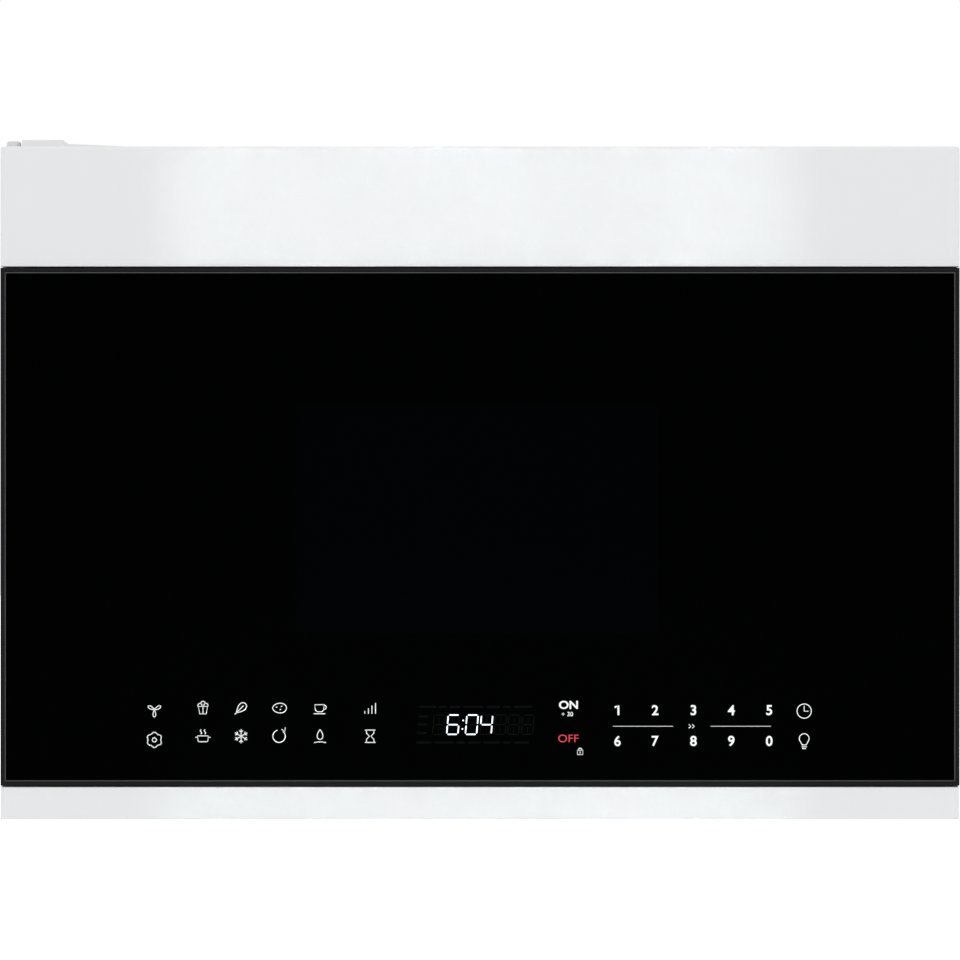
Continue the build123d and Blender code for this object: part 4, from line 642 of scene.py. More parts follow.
def curl(x: float) -> Line:
    """Makes a curl of steam that rises at one x."""
    return Line(tuple((x + 0.45 * math.sin(step * math.pi / 3), 1.3 + 0.4 * step) for step in range(7)))


def crystal() -> list[Line]:
    """Makes three spokes across and a fork near each of their ends."""
    lines = []
    for turn in (30, 90, 150):
        c, s = math.cos(math.radians(turn)), math.sin(math.radians(turn))
        lines.append(Line(((-3.8 * c, -3.8 * s), (3.8 * c, 3.8 * s))))
    for turn in range(30, 390, 60):
        a = math.radians(turn)
        root = (2.2 * math.cos(a), 2.2 * math.sin(a))
        for b in (a - math.pi / 4, a + math.pi / 4):
            lines.append(Line((root, (root[0] + 1.3 * math.cos(b), root[1] + 1.3 * math.sin(b)))))
    return lines


GLASS_SIDE = ((-2.2, 3.5), (-2.0, 1.6), (-0.4, 0.0), (-2.0, -1.6), (-2.2, -3.5))

SIGNS: dict[str, list[Line]] = {
    "fan": [petal(4.5, 1.9, turn, (0.0, 0.2)) for turn in (150.0, 30.0, 270.0)],
    "setting": [lobed_ring(6, 4.45, 0.42), ring((0.0, 0.0), 1.3)],
    "clock": [ring((0.0, 0.0), 4.5, 36), Line(((0.0, 3.1), (0.0, -0.1), (2.5, -0.1)))],
    "lamp": [
        Line((
            *circle((0.0, 1.7), 3.1, 21, -42.0, 264.0), (-1.5, -1.9), (-1.5, -2.3), (1.5, -2.3), (1.5, -1.9),
        ), loop=True),
        Line(((-1.4, -3.5), (1.4, -3.5))),
        Line(((-0.9, -4.6), (0.9, -4.6))),
    ],
    "lock": [
        Line(((-1.7, -2.2), (1.7, -2.2), (1.7, 0.5), (-1.7, 0.5)), loop=True),
        arc((0.0, 0.7), 1.15, 0.0, 180.0),
        Line(((0.0, -0.4), (0.0, -1.3))),
    ],
    "bucket": [
        Line(((-2.6, 0.9), (-1.8, -3.3), (1.8, -3.3), (2.6, 0.9)), loop=True),
        arc((-1.7, 1.5), 1.15, -20.0, 220.0),
        arc((1.7, 1.5), 1.15, -20.0, 220.0),
        arc((0.0, 2.5), 1.3, 0.0, 180.0),
        Line(((0.0, 0.9), (0.0, -3.3))),
    ],
    "leaf": [petal(7.2, 4.6, 45.0, (-2.6, -2.6)), Line(((-3.4, -3.4), (1.2, 1.2)))],
    "tuber": [
        plump_oval(),
        *(Line(((x, z), (x + 0.5, z + 0.2))) for x, z in ((-1.6, 0.4), (0.5, -0.9), (1.2, 0.9))),
    ],
    "cup": [
        Line(((-3.0, 1.9), (-2.6, -1.1), (-1.6, -2.1), (1.0, -2.1), (2.0, -1.1), (2.4, 1.9)), loop=True),
        arc((2.3, 0.4), 1.2, -70.0, 140.0),
        Line(((-3.4, -3.2), (2.8, -3.2))),
    ],
    "level": [Line(((x, -3.0), (x, -1.8 + 1.5 * step))) for step, x in enumerate((-3.0, -1.0, 1.0, 3.0))],
    "pot": [
        Line(((-3.0, 0.2), (-2.8, -2.6), (-2.2, -3.1), (2.2, -3.1), (2.8, -2.6), (3.0, 0.2)), loop=True),
        Line(((-4.1, -0.6), (-3.0, -0.6))),
        Line(((3.0, -0.6), (4.1, -0.6))),
        curl(-1.1),
        curl(1.1),
    ],
    "frost": crystal(),
    "again": [arc((0.0, 0.0), 3.5, 48.0, -300.0, 28), Line(((1.5, 3.9), (3.3, 2.6), (3.5, 4.8)))],
    "drop": [
        petal(5.6, 3.6, 270.0, (0.0, 3.8)),
        Line(((-3.2, -3.6), (-1.2, -3.2), (1.2, -3.2), (3.2, -3.6))),
    ],
    "glass": [
        Line(GLASS_SIDE),
        Line(tuple((-x, z) for x, z in GLASS_SIDE)),
        Line(((-2.8, 3.5), (2.8, 3.5))),
        Line(((-2.8, -3.5), (2.8, -3.5))),
    ],
    "one": [Line(((-1.3, 1.95), (0.6, 2.75), (0.6, -2.65)))],
    "plus": [Line(((-0.85, 0.0), (0.85, 0.0))), Line(((0.0, 0.85), (0.0, -0.85)))],
    "next": [Line(((x - 0.7, 1.1), (x + 0.5, 0.0), (x - 0.7, -1.1))) for x in (-1.0, 1.2)],
}


# ---------------------------------------------------------------------------- the oven's parts
def dress_node(node: str, finish: Finish | None = None) -> None:
    """Gives a CAD node the finish of its material slot.

    Args:
        node: the node's name.
        finish: another finish, where the slot's own isn't meant.
    """
    slots = {entry["node"]: entry["material_slot"] for entry in FRAME["record"]["subparts"]}
    material = (finish or FINISHES[slots[node]]).material()
    target = FRAME["nodes"][node]
    if not target.material_slots:
        target.data.materials.append(material)
    for place in target.material_slots:
        place.material = material
    LOG.info("%s has the finish %s", node, material.name)


@dataclass
class Studio:
    """The camera, the lamps, the white world and the floor."""

    photo_width: float = 960 * 0.632 * MM
    photo_middle_z: float = 0.21455
    distance: float = 5.2
    sensor: float = 36.0
    front_y: float = -0.2
    floor_z: float = -0.30
    floor_half: float = 30.0
    floor_tones: Flat = (0.86, 0.88)
    floor_glow: float = 0.3
    glow_reach: Flat = (1.0, 4.0)
    ambient: float = 0.6
    softbox: Flat = (1.6, 1.6)
    softbox_power: float = 28.0
    strip_tint: Color = (0.74, 1.0, 1.0)

    def camera(self) -> None:
        """Sets the camera square to the front, as the photograph is taken."""
        lens = bpy.data.cameras.new("photo_camera")
        lens.sensor_width = self.sensor
        lens.lens = self.sensor * (self.distance + self.front_y) / self.photo_width
        lens.clip_end = 200.0
        eye = bpy.data.objects.new("photo_camera", lens)
        eye.location = (0.0, -self.distance, self.photo_middle_z)
        eye.rotation_euler = (math.pi / 2, 0.0, 0.0)
        bpy.context.scene.collection.objects.link(eye)
        bpy.context.scene.camera = eye

    def world(self) -> None:
        """Makes a world that the eye sees as white and that lights the object evenly."""
        world = bpy.data.worlds.new("studio_white")
        bpy.context.scene.world = world
        draft = open_nodes(world)
        level = draft.spread(draft.seen(), 0.0, 1.0, self.ambient)
        sky = draft.add("ShaderNodeBackground", {"Color": WHITE_LIGHT, "Strength": level})
        draft.add("ShaderNodeOutputWorld", {"Surface": sky.outputs[0]})

    def lamp(
        self, name: str, place: Point, aim: Point, size: Flat, power: float, spread: float = 180.0,
        tint: Color = (1.0, 1.0, 1.0),
    ) -> None:
        """Adds one soft lamp that reflections don't show.

        Args:
            name: its name.
            place: its middle.
            aim: the point that it faces.
            size: its width and height.
            power: watts.
            spread: how wide it throws, in degrees.
            tint: its colour.
        """
        data = bpy.data.lights.new(name, "AREA")
        data.color = tint
        data.shape = "RECTANGLE"
        data.size, data.size_y = size
        data.energy = power
        data.spread = math.radians(spread)
        lamp = bpy.data.objects.new(name, data)
        lamp.location = place
        lamp.rotation_euler = (Vector(aim) - Vector(place)).to_track_quat("-Z", "Y").to_euler()
        lamp.visible_glossy = lamp.visible_camera = False
        bpy.context.scene.collection.objects.link(lamp)

    def floor(self) -> None:
        """Lays a pale floor that keeps the object's shadow and is clear when seen from below."""
        def build(work: Mesh) -> None:
            """Adds one square."""
            half, corners = self.floor_half, ((-1, -1), (1, -1), (1, 1), (-1, 1))
            work.faces.new([work.verts.new((x * half, y * half, self.floor_z)) for x, y in corners])

        floor = mesh_piece("floor", build)
        paint = bpy.data.materials.new("floor_white")
        draft = open_nodes(paint)
        where = draft.here()
        tone = draft.spread(draft.noise(where, 3.0), 0.3, 0.7, *self.floor_tones)
        far = draft.add("ShaderNodeVectorMath", {0: where}, operation="LENGTH").outputs["Value"]
        glow = draft.spread(far, *self.glow_reach, self.floor_glow)
        matte = draft.add("ShaderNodeBsdfDiffuse", {"Color": draft.grey(tone)}).outputs[0]
        strength = draft.math("MULTIPLY", draft.seen(), glow)
        lift = draft.add("ShaderNodeEmission", {"Color": WHITE_LIGHT, "Strength": strength}).outputs[0]
        lit = draft.add("ShaderNodeAddShader", {0: matte, 1: lift}).outputs[0]
        back = draft.add("ShaderNodeNewGeometry").outputs["Backfacing"]
        clear = draft.add("ShaderNodeBsdfTransparent").outputs[0]
        shown = draft.add("ShaderNodeMixShader", {0: back, 1: lit, 2: clear}).outputs[0]
        draft.add("ShaderNodeOutputMaterial", {"Surface": shown})
        floor.data.materials.append(paint)

    def build(self) -> None:
        """Sets up the whole studio."""
        self.camera()
        self.world()
        self.floor()
        middle = (0.0, self.front_y, self.photo_middle_z)
        for name, x in (("left_softbox", -2.6), ("right_softbox", 2.6)):
            self.lamp(name, (x, -2.2, 2.2), middle, self.softbox, self.softbox_power)
        self.lamp("back_softbox", (0.4, 2.8, 2.4), (0.0, 0.2, 0.2), (1.8, 1.2), 20.0)
        strip = (0.0, -3.6, self.photo_middle_z)
        self.lamp("front_strip", strip, middle, (0.39, 1.2), 0.235, 1.0, self.strip_tint)
        self.lamp("low_fill", (0.0, -2.6, -0.25), (0.0, self.front_y, -0.1), (2.0, 0.4), 0.15, 14.0)
        bpy.context.scene.view_settings.view_transform = "Standard"


@dataclass
class Cabinet:
    """The steel cabinet with all that stands still in it."""

    dressed_by_door: tuple[str, ...] = ("door_glass", "display_module")

    def build(self) -> None:
        """Dresses the nodes that keep their CAD shape."""
        for node in FRAME["nodes"]:
            if node not in self.dressed_by_door:
                dress_node(node)
        for side in ("left", "right"):
            GreaseFilter(side).build()
        CrossScrews("case_screws", "cabinet").build()


@dataclass
class CrossScrews:
    """Cross-recessed screws in place of one node's plain ones, with their heads towards the wall."""

    node: str
    body: str
    head_height: float = 2.0 * MM
    rim_share: float = 0.45
    shank_share: float = 0.48
    tip_share: float = 0.2
    recess_reach: float = 2.3 * MM
    recess_half: float = 0.5 * MM
    recess_depth: float = 1.2 * MM
    recess_soft: float = 0.25 * MM
    recess_limit: float = 0.8
    apart: float = 10.0 * MM
    rings: int = 20
    spokes: int = 56

    def boxes(self) -> list[tuple[Vector, ...]]:
        """Finds each screw's lowest and highest corner in the node's mesh.

        Returns:
            One pair of corners for each screw.
        """
        found: list[list[Vector]] = []
        for vertex in FRAME["nodes"][self.node].data.vertices:
            for group in found:
                if math.hypot(group[0].x - vertex.co.x, group[0].z - vertex.co.z) < self.apart:
                    group.append(vertex.co)
                    break
            else:
                found.append([vertex.co])
        return [tuple(Vector([pick(axis) for axis in zip(*group)]) for pick in (min, max)) for group in found]

    def head(self, x: float, z: float, radius: float, height: float) -> float:
        """Gives how far the head's surface stands out at one place.

        Args:
            x: sideways from the screw's middle.
            z: upwards from the screw's middle.
            radius: the head's radius.
            height: the head's height.

        Returns:
            The height above the head's seat.
        """
        share = min(math.hypot(x, z) / radius, 1.0)
        dome = height * (self.rim_share + (1 - self.rim_share) * math.sqrt(1 - share * share))
        narrow = (self.recess_half - min(abs(x), abs(z))) / self.recess_soft + 0.5
        short = (self.recess_reach - max(abs(x), abs(z))) / self.recess_soft + 0.5
        cut = min(max(narrow, 0.0), 1.0) * min(max(short, 0.0), 1.0)
        return dome - min(self.recess_depth, dome * self.recess_limit) * cut

    def screw(self, work: Mesh, low: Vector, high: Vector) -> None:
        """Adds one closed screw.

        Args:
            work: the bmesh.
            low: the lowest corner of its box.
            high: the highest corner of its box.
        """
        middle, radius = (low + high) / 2, (high.x - low.x) / 2
        height = min(self.head_height, high.y - low.y)
        seat, shank = high.y - height, radius * self.shank_share
        profile = [(radius * step / self.rings, None) for step in range(1, self.rings + 1)]
        profile += [(radius, seat), (shank, seat), (shank, low.y + shank), (shank * self.tip_share, low.y)]
        rows = []
        for reach, y in profile:
            flat = [(reach * math.cos(turn), reach * math.sin(turn)) for turn in even_turns(self.spokes)]
            rows.append([
                (middle.x + x, seat + self.head(x, z, radius, height) if y is None else y, middle.z + z)
                for x, z in flat
            ])
        inner = skin(work, rows, caps=(-1,))[0]
        crown = work.verts.new((middle.x, seat + self.head(0.0, 0.0, radius, height), middle.z))
        for spoke in range(self.spokes):
            work.faces.new((crown, inner[spoke], inner[spoke - 1]))

    def build(self) -> None:
        """Makes the screws and stands them in for the node."""
        def fill(work: Mesh) -> None:
            """Adds every screw."""
            for low, high in self.boxes():
                self.screw(work, low, high)

        piece = mesh_piece(self.node + "_cross", fill)
        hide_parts(self.node)
        finish_piece(piece, self.body, "screw_zinc")


@dataclass
class GreaseFilter:
    """One grease filter: a channel frame round a pad of crossed aluminium strands, with a pull ring."""

    side: str
    frame: float = 9.0 * MM
    sheet: float = 0.5 * MM
    roll: float = 1.2 * MM
    tuck: float = 2.0 * MM
    strand: float = 0.55 * MM
    pitch: float = 3.4 * MM
    rise: float = 1.2 * MM
    slopes: tuple[float, ...] = (28.0, 40.0, 52.0, 64.0)
    ring_radius: float = 7.0 * MM
    ring_steps: int = 36
    ring_drop: float = 1.1
    wire: float = 0.42 * MM

    def channel(self, work: Mesh) -> None:
        """Adds the frame, a channel bent from sheet.

        Args:
            work: the bmesh.
        """
        low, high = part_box("grease_filter_" + self.side)
        bend, wall, reach = self.roll, self.sheet, self.frame
        section = []
        for inset, turn in ((0.0, 1), (wall, -1)):
            shell = [
                (reach, low.z + inset), (bend + inset, low.z + inset), (inset, low.z + bend + inset),
                (inset, high.z - bend - inset), (bend + inset, high.z - inset), (reach, high.z - inset),
            ]
            section += shell[::turn]
        mitred_frame(work, (low.x, low.y), (high.x, high.y), section, lambda u, v, depth: (u, v, depth))

    def bar(self, work: Mesh, start: Vector, end: Vector, across: Vector) -> None:
        """Adds one strand with a square section that stands on its edge.

        Args:
            work: the bmesh.
            start: where it starts.
            end: where it ends.
            across: the flat direction square to it.
        """
        half = self.strand / 2
        corners = (across * half, UP * half, -across * half, UP * -half)
        skin(work, [[tip + corner for corner in corners] for tip in (start, end)])

    def pad(self, work: Mesh) -> None:
        """Adds the layers of crossed strands.

        Args:
            work: the bmesh.
        """
        low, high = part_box("grease_filter_" + self.side)
        middle, half = (low + high) / 2, (high - low) / 2
        room = [half[axis] - self.frame + self.tuck for axis in (0, 1)]
        for layer, slope in enumerate(self.slopes):
            height = (layer - (len(self.slopes) - 1) / 2) * self.rise
            for sign in (-1, 1):
                turn = math.radians(sign * slope)
                along = Vector((math.cos(turn), math.sin(turn), 0.0))
                across = Vector((-along.y, along.x, 0.0))
                count = int((room[0] * abs(across.x) + room[1] * abs(across.y)) / self.pitch)
                lift = Vector((0.0, 0.0, height + sign * self.strand / 4))
                for number in range(-count, count + 1):
                    root = across * number * self.pitch
                    spans = [
                        sorted((limit - root[axis]) / along[axis] for limit in (-room[axis], room[axis]))
                        for axis in (0, 1)
                    ]
                    start, end = max(span[0] for span in spans), min(span[1] for span in spans)
                    if end - start > self.pitch:
                        base = middle + lift + root
                        self.bar(work, base + along * start, base + along * end, across)

    def pull_ring(self, work: Mesh) -> None:
        """Adds the wire ring that lies flat under the front of the frame.

        Args:
            work: the bmesh.
        """
        low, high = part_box("grease_filter_" + self.side)
        front = low.y + self.frame / 2 + self.ring_radius
        middle = Vector(((low.x + high.x) / 2, front, low.z - self.ring_drop * self.wire))
        path = [
            middle + self.ring_radius * Vector((math.cos(turn), math.sin(turn), 0.0))
            for turn in even_turns(self.ring_steps)
        ]
        bent_wire(work, path, self.wire, loop=True)

    def build(self) -> None:
        """Makes the frame, the pad and the ring, and stands them in for the node."""
        shapes = {"filter_frame_": self.channel, "filter_pad_": self.pad, "filter_ring_": self.pull_ring}
        pieces = [mesh_piece(name + self.side, build) for name, build in shapes.items()]
        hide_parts("grease_filter_" + self.side)
        for piece in pieces:
            finish_piece(piece, "filter_" + self.side, "filter_aluminium")


@dataclass
class Printer:
    """Prints signs and letters on the door's glass, a hair proud of it."""

    face_y: float = -0.1997
    ink: float = 0.00008
    capital_share: float = 0.73

    def sign(
        self, name: str, marks: Iterable[tuple[list[Line], Flat, float]], width: float, look: Finish,
    ) -> None:
        """Prints lines as one piece.

        Args:
            name: the piece's name.
            marks: for each sign, its lines, its middle (x, z) and its scale.
            width: the lines' width.
            look: the finish of the ink.
        """
        def build(work: Mesh) -> None:
            """Adds every line."""
            depth = (self.face_y - self.ink, self.face_y + self.ink)
            for lines, middle, scale in marks:
                for line in lines:
                    stroke(work, line, scale, middle, width, depth)

        finish_piece(mesh_piece(name, build), "door", "front_glass", look)

    def letters(
        self, name: str, words: Iterable[tuple[str, Flat]], height: float, look: Finish,
        bold: float = 0.0, wide: float = 1.0,
    ) -> None:
        """Prints digits or words as one piece.

        Args:
            name: the piece's name.
            words: each text with the middle (x, z) of its place.
            height: height of a capital.
            look: the finish of the ink.
            bold: how far the outline is swollen, as a share of the height.
            wide: how wide a letter is against its usual width.
        """
        work = bmesh.new()
        for text, (x, z) in words:
            curve = bpy.data.curves.new("draft_text", "FONT")
            curve.body = text
            curve.size = height / self.capital_share
            curve.offset = bold * height
            curve.extrude = self.ink / 2
            curve.resolution_u = 4
            draft = bpy.data.objects.new("draft_text", curve)
            mesh = bpy.data.meshes.new_from_object(draft)
            ends = [(min(axis), max(axis)) for axis in zip(*(vertex.co for vertex in mesh.vertices))]
            middle = Vector((sum(ends[0]) / 2, sum(ends[1]) / 2, 0.0))
            shape = Matrix.Diagonal((wide, 1.0, 1.0, 1.0)) @ Matrix.Translation(-middle)
            upright = Matrix.Rotation(math.pi / 2, 4, "X")
            mesh.transform(Matrix.Translation((x, self.face_y - self.ink / 2, z)) @ upright @ shape)
            work.from_mesh(mesh)
            bpy.data.meshes.remove(mesh)
            bpy.data.objects.remove(draft)
            bpy.data.curves.remove(curve)
        finish_piece(link_mesh(name, work), "door", "front_glass", look)


@dataclass
class TouchPanel:
    """The legends of the touch controls, placed in millimetres from the oven's middle and its underside."""

    printer: Printer = field(default_factory=Printer)
    line: float = 0.6 * MM
    preset_x: tuple[float, ...] = (-175.1, -151.0, -127.0, -101.1, -69.4)
    preset_scale: float = 1.12
    digit_x: tuple[float, ...] = (86.9, 110.7, 134.9, 158.8, 182.8)
    digit_rows: Flat = (69.1, 49.6)
    digit_height: float = 6.4 * MM
    word_height: float = 5.1 * MM
    seconds_height: float = 2.9 * MM
    start_x: float = 55.9
    left_x: float = -205.8
    right_x: float = 204.9
    rule_z: float = 58.9
    rule_width: float = 0.34 * MM
    one_width: float = 1.3 * MM
    plus_width: float = 0.42 * MM
    small_share: float = 0.85
    # The legends are printed ink, not a lamp: the glow in both finishes paints light onto the print.
    white: Finish = Finish("legend_white_painted_glow", (0.95, 0.96, 0.97), 0.5, amount=0.02, glow=0.14)
    red: Finish = Finish("legend_red_painted_glow", (0.78, 0.055, 0.075), 0.5, amount=0.02, glow=0.1)

    PRESETS = {
        70.4: ("bucket", "leaf", "tuber", "cup", "level"),
        52.6: ("pot", "frost", "again", "drop", "glass"),
    }
    RULES = ((84.2, 121.8), (145.9, 183.8))

    def signs(self, name: str, places: dict[str, Flat], width: float, scale: float = 1.0) -> None:
        """Prints some of the signs as one piece.

        Args:
            name: the piece's name.
            places: where each sign's middle is.
            width: the lines' width.
            scale: how much larger than drawn.
        """
        marks = [(SIGNS[sign], (x * MM, z * MM), scale) for sign, (x, z) in places.items()]
        self.printer.sign(name, marks, width, self.white)

    def word(self, name: str, text: str, place: Flat, height: float, look: Finish, **shape: float) -> None:
        """Prints one word at its place, which is in millimetres."""
        self.printer.letters(name, [(text, (place[0] * MM, place[1] * MM))], height, look, **shape)

    def build(self) -> None:
        """Prints every legend."""
        upper_z, lower_z = self.digit_rows
        presets = {name: (x, z) for z, row in self.PRESETS.items() for name, x in zip(row, self.preset_x)}
        self.signs("preset_signs", presets, self.line, self.preset_scale)
        self.signs("function_signs", {
            "fan": (self.left_x, upper_z), "setting": (self.left_x, 50.3),
            "clock": (self.right_x, 68.5), "lamp": (self.right_x, 49.4),
        }, self.line)
        marks = {"lock": (63.3, 43.2), "next": (133.8, self.rule_z)}
        self.signs("small_signs", marks, self.line * self.small_share)
        rules = [Line(((low, 0.0), (high, 0.0))) for low, high in self.RULES]
        self.printer.sign("digit_rules", [(rules, (0.0, self.rule_z * MM), 1.0)], self.rule_width, self.white)
        self.signs("digit_one", {"one": (self.digit_x[0], upper_z)}, self.one_width)
        self.signs("start_plus", {"plus": (self.start_x - 3.4, 66.6)}, self.plus_width)
        places = [(x * MM, z * MM) for z in self.digit_rows for x in self.digit_x][1:]
        self.printer.letters("digits", zip("234567890", places), self.digit_height, self.white, bold=0.035)
        x, tall, small = self.start_x, self.word_height, self.seconds_height
        self.word("start_word", "ON", (x, 72.4), tall, self.white, bold=0.04, wide=1.12)
        self.word("start_seconds", "30", (x + 1.1, 66.6), small, self.white, bold=0.02)
        self.word("stop_word", "OFF", (x, 51.2), tall, self.red, wide=1.1)


@dataclass
class Display:
    """The lit clock behind the glass, with its unlit cells and signs."""

    face_y: float = -0.1997
    depth: float = 0.00006
    cell_x: tuple[float, ...] = (-26.0 * MM, -17.0 * MM, -5.2 * MM, 4.0 * MM, 12.8 * MM, 21.4 * MM, 30.2 * MM)
    shown: tuple[str, ...] = ("", "6", "0", "4", "", "", "")
    colon_x: float = -10.9 * MM
    colon_share: float = 0.22
    middle_z: float = 59.9 * MM
    cell_width: float = 7.1 * MM
    cell_height: float = 12.2 * MM
    segment: float = 0.84 * MM
    gap_share: float = 0.62
    point_share: float = 0.2
    slant: float = 0.085
    thin_share: float = 0.45
    unlit_share: float = 0.7
    halo_share: float = 2.3
    halo_rise: float = 0.4
    sign_row_z: float = 11.3 * MM
    sign_start_x: float = -39.5 * MM
    sign_height: float = 1.5 * MM
    sign_gap: float = 1.6 * MM
    side_signs: tuple[float, ...] = (5.2, 0.2, -5.2)
    side_ends: Flat = (-39.6 * MM, -33.2 * MM)
    upper_lengths: tuple[float, ...] = (11.0, 5.0, 7.0, 13.0, 9.0, 5.0, 12.0)
    lower_lengths: tuple[float, ...] = (10.0, 12.0, 6.0, 8.0, 11.0, 5.0, 10.0)
    lit: Finish = Finish("display_lit", (0.86, 0.95, 1.0), 0.5, amount=0.01, glow=0.9)
    unlit: Finish = Finish("display_unlit", (0.0040, 0.0048, 0.0045), 0.6, amount=0.01, specular=0.05)
    faint: Finish = Finish("display_faint", (0.0008, 0.0012, 0.0018), 0.6, amount=0.01, specular=0.05)
    halo: Finish = Finish("display_halo", (0.0010, 0.0019, 0.0040), 0.6, amount=0.01, specular=0.05)

    SEGMENTS = {"": "", "0": "abcdef", "4": "bcfg", "6": "acdefg"}

    def cell(self, x: float) -> dict[str, tuple[Flat, Flat]]:
        """Gives the two ends of each of a cell's seven segments.

        Args:
            x: the cell's middle.

        Returns:
            The ends (x, z) under the segments' usual letters, upright and centred on x.
        """
        half, top, gap = self.cell_width / 2, self.cell_height / 2, self.segment * self.gap_share
        left, right = x - half, x + half
        return {
            "a": ((left + gap, top), (right - gap, top)),
            "b": ((right, top - gap), (right, gap)),
            "c": ((right, -gap), (right, gap - top)),
            "d": ((left + gap, -top), (right - gap, -top)),
            "e": ((left, -gap), (left, gap - top)),
            "f": ((left, top - gap), (left, gap)),
            "g": ((left + gap, 0.0), (right - gap, 0.0)),
        }

    def segments(self, lit: bool) -> Iterator[tuple[Flat, Flat]]:
        """Gives the ends of some of the segments, cell by cell.

        Args:
            lit: whether those that are lit are meant, or the others.

        Yields:
            The two ends (x, z) of a segment.
        """
        for x, digit in zip(self.cell_x, self.shown):
            for letter, ends in self.cell(x).items():
                if (letter in self.SEGMENTS[digit]) == lit:
                    yield ends

    def bar(self, work: Mesh, ends: tuple[Flat, Flat], width: float, rise: float = 1.0) -> None:
        """Adds one segment with pointed ends, leaning as the display does.

        Args:
            work: the bmesh.
            ends: its two ends, with z from the display's middle.
            width: how thick it is.
            rise: how far it stands out, as a share of the lit segments' depth.
        """
        first, last = (Vector(end) for end in ends)
        along = (last - first).normalized() * width / 2
        across = Vector((-along.y, along.x))
        point, shoulder = along * self.point_share, along * (1 - self.point_share)
        outline = [
            first - point, first + shoulder + across, last - shoulder + across,
            last + point, last - shoulder - across, first + shoulder - across,
        ]
        placed = [(corner.x + self.slant * corner.y, self.middle_z + corner.y) for corner in outline]
        prism(work, placed, self.face_y - self.depth * rise, self.face_y + self.depth)

    def halos(self, work: Mesh) -> None:
        """Adds the dim light that spreads round each lit segment."""
        for ends in self.segments(True):
            self.bar(work, ends, self.segment * self.halo_share, self.halo_rise)

    def lit_cells(self, work: Mesh) -> None:
        """Adds what is lit: the digits and the colon.

        Args:
            work: the bmesh.
        """
        for ends in self.segments(True):
            self.bar(work, ends, self.segment)
        for z in (self.cell_height * self.colon_share, -self.cell_height * self.colon_share):
            middle = (self.colon_x + self.slant * z, self.middle_z + z)
            dot = circle(middle, self.segment * self.gap_share, 16)
            prism(work, dot, self.face_y - self.depth, self.face_y + self.depth)

    def unlit_cells(self, work: Mesh) -> None:
        """Adds the cells' dark segments, and the upright in the middle of all but the digit nought.

        Args:
            work: the bmesh.
        """
        for ends in self.segments(False):
            self.bar(work, ends, self.segment * self.unlit_share, self.unlit_share)
        quarter = self.cell_height / 4
        for x in (x for x, digit in zip(self.cell_x, self.shown) if digit != "0"):
            for z in (quarter, -quarter):
                ends = ((x, z + quarter * 0.6), (x, z - quarter * 0.6))
                self.bar(work, ends, self.segment * self.thin_share, self.unlit_share)

    def faint_rows(self, work: Mesh) -> None:
        """Adds the rows of dark signs above, below and beside the digits.

        Args:
            work: the bmesh.
        """
        for z, lengths in ((self.sign_row_z, self.upper_lengths), (-self.sign_row_z, self.lower_lengths)):
            x = self.sign_start_x
            for length in lengths:
                self.bar(work, ((x, z), (x + length * MM, z)), self.sign_height, self.unlit_share)
                x += length * MM + self.sign_gap
        left, right = self.side_ends
        for z in self.side_signs:
            self.bar(work, ((left, z * MM), (right, z * MM)), self.sign_height, self.unlit_share)

    def build(self) -> None:
        """Makes the lit and the unlit signs."""
        for name, build, look in (
            ("display_digits", self.lit_cells, self.lit),
            ("display_halo", self.halos, self.halo),
            ("display_unlit_cells", self.unlit_cells, self.unlit),
            ("display_faint_signs", self.faint_rows, self.faint),
        ):
            finish_piece(mesh_piece(name, build), "door", "display_dark", look)


@dataclass
class LatchSpring:
    """The coil spring over the latch bar, which shortens as the bar lifts."""

    wire: float = 0.5 * MM
    travel: float = 5.0 * MM
    pitch: float = 2.6 * MM
    closed_turns: int = 1
    steps: int = 28

    def coil(self, work: Mesh) -> None:
        """Adds the coil, with one closed turn at each end.

        Args:
            work: the bmesh.
        """
        low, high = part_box("latch_spring")
        middle, radius = (low + high) / 2, (high.x - low.x) / 2 - self.wire
        start, rise = low.z + self.wire, high.z - low.z - 2 * self.wire
        closed = self.closed_turns * 2 * self.wire
        active = round((rise - 2 * closed) / self.pitch)
        total = active + 2 * self.closed_turns
        path = []
        for step in range(total * self.steps + 1):
            turns = step / self.steps
            tight = min(turns, self.closed_turns) + max(turns - total + self.closed_turns, 0.0)
            height = tight * 2 * self.wire + (turns - tight) * (rise - 2 * closed) / active
            x, y = radius * math.cos(2 * math.pi * turns), radius * math.sin(2 * math.pi * turns)
            path.append(Vector((middle.x + x, middle.y + y, start + height)))
        bent_wire(work, path, self.wire)

    def build(self) -> None:
        """Makes the coil, stands it in for the node and gives it a mesh of its own."""
        piece = mesh_piece("latch_coil", self.coil)
        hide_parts("latch_spring")
        finish_piece(piece, "door", "spring_steel")
        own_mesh(piece)


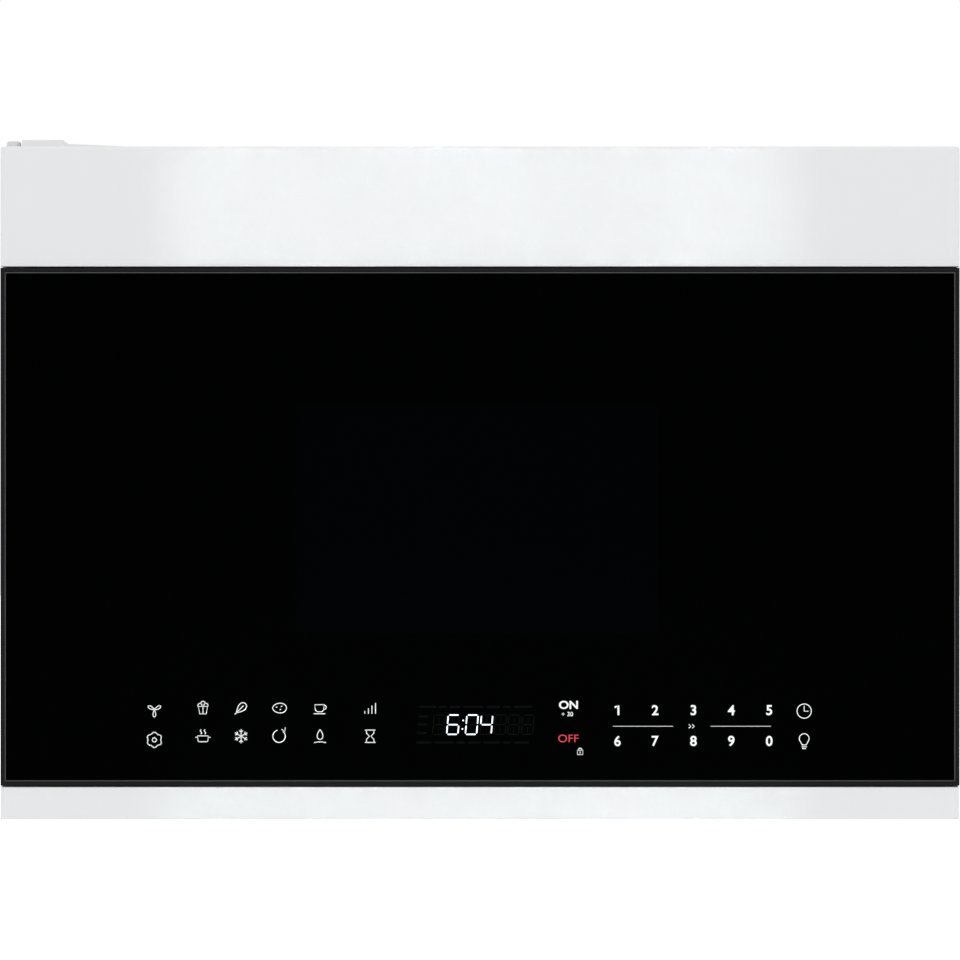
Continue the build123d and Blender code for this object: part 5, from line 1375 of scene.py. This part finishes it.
@dataclass
class Door:
    """The glass door: its black-backed glass with the dim window, and the ground edge round it, grey as
    ground glass is and lightened further as a painted highlight.
    """

    window: tuple[Flat, Flat] = ((-115.7 * MM, 111.9 * MM), (118.5 * MM, 262.0 * MM))
    window_soft: float = 1.2 * MM
    window_alpha: float = 0.96
    wipe_scale: float = 14.0
    glass_roughness: Flat = (0.035, 0.075)
    glass_specular: float = 0.005
    edge_width: float = 0.8 * MM
    edge_drop: float = 0.3 * MM
    edge_proud: float = 0.04 * MM
    screw_head: float = 1.2 * MM
    # The edge's grey is partly the ground glass's own colour and partly a painted highlight along the glass's
    # rim.
    edge: Finish = Finish("glass_edge_painted_highlight", (0.065, 0.067, 0.07), 0.25, amount=0.1, relief=0.000004)
    module: Finish = Finish("display_dark", (0.002, 0.0025, 0.003), 0.3, specular=0.05)

    BACKING = ((0.0001, 0.0002, 0.0003, 1.0), (0.0004, 0.0006, 0.0010, 1.0))

    def glass(self) -> bpy.types.Material:
        """Builds the glass: printed black from behind, and thinner over the window.

        Returns:
            The material.
        """
        made = bpy.data.materials.new("front_glass_finish")
        draft = open_nodes(made)
        where = draft.here()
        axes = draft.add("ShaderNodeSeparateXYZ", {0: where}).outputs
        soft, bands = self.window_soft, []
        for label, (low, high) in zip("XZ", self.window):
            rise = draft.spread(axes[label], low - soft, low + soft)
            fall = draft.spread(axes[label], high - soft, high + soft, 1.0, 0.0)
            bands.append(draft.math("MULTIPLY", rise, fall))
        inside = draft.math("MULTIPLY", *bands)
        wipe = draft.noise(where, self.wipe_scale, 6.0)
        shader = draft.add("ShaderNodeBsdfPrincipled", {
            "Base Color": draft.mix(inside, *self.BACKING),
            "Roughness": draft.spread(wipe, 0.35, 0.75, *self.glass_roughness),
            "Alpha": draft.spread(inside, 0.0, 1.0, 1.0, self.window_alpha),
            "Specular IOR Level": self.glass_specular,
        })
        draft.add("ShaderNodeOutputMaterial", {"Surface": shader.outputs[0]})
        return made

    def ground_edge(self, work: Mesh) -> None:
        """Adds the slanted ground edge that runs round the glass, which its finish paints lighter as a
        highlight.

        Args:
            work: the bmesh.
        """
        low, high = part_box("door_glass")
        width, face = self.edge_width, low.y - self.edge_proud
        slant, back = face + self.edge_drop, face + self.edge_drop + self.edge_width
        section = ((width, face), (0.0, slant), (0.0, back), (width, back))
        mitred_frame(work, (low.x, low.z), (high.x, high.z), section, lambda u, v, depth: (u, depth, v))

    def build(self) -> None:
        """Dresses the glass and adds its edge, its screws, its latch spring and its signs."""
        glass = self.glass()
        for place in FRAME["nodes"]["door_glass"].material_slots:
            place.material = glass
        edge = mesh_piece("glass_edge_painted_highlight", self.ground_edge)
        finish_piece(edge, "door", "front_glass", self.edge)
        dress_node("display_module", self.module)
        CrossScrews("door_screws", "door", head_height=self.screw_head).build()
        LatchSpring().build()
        TouchPanel().build()
        Display().build()


def main() -> None:
    """Builds the studio and dresses the oven, part by part."""
    logging.basicConfig(level=logging.INFO, format="%(name)s: %(message)s")
    bpy.context.scene.unit_settings.system = "METRIC"
    Studio().build()
    Cabinet().build()
    Door().build()


if __name__ == "__main__":
    main()
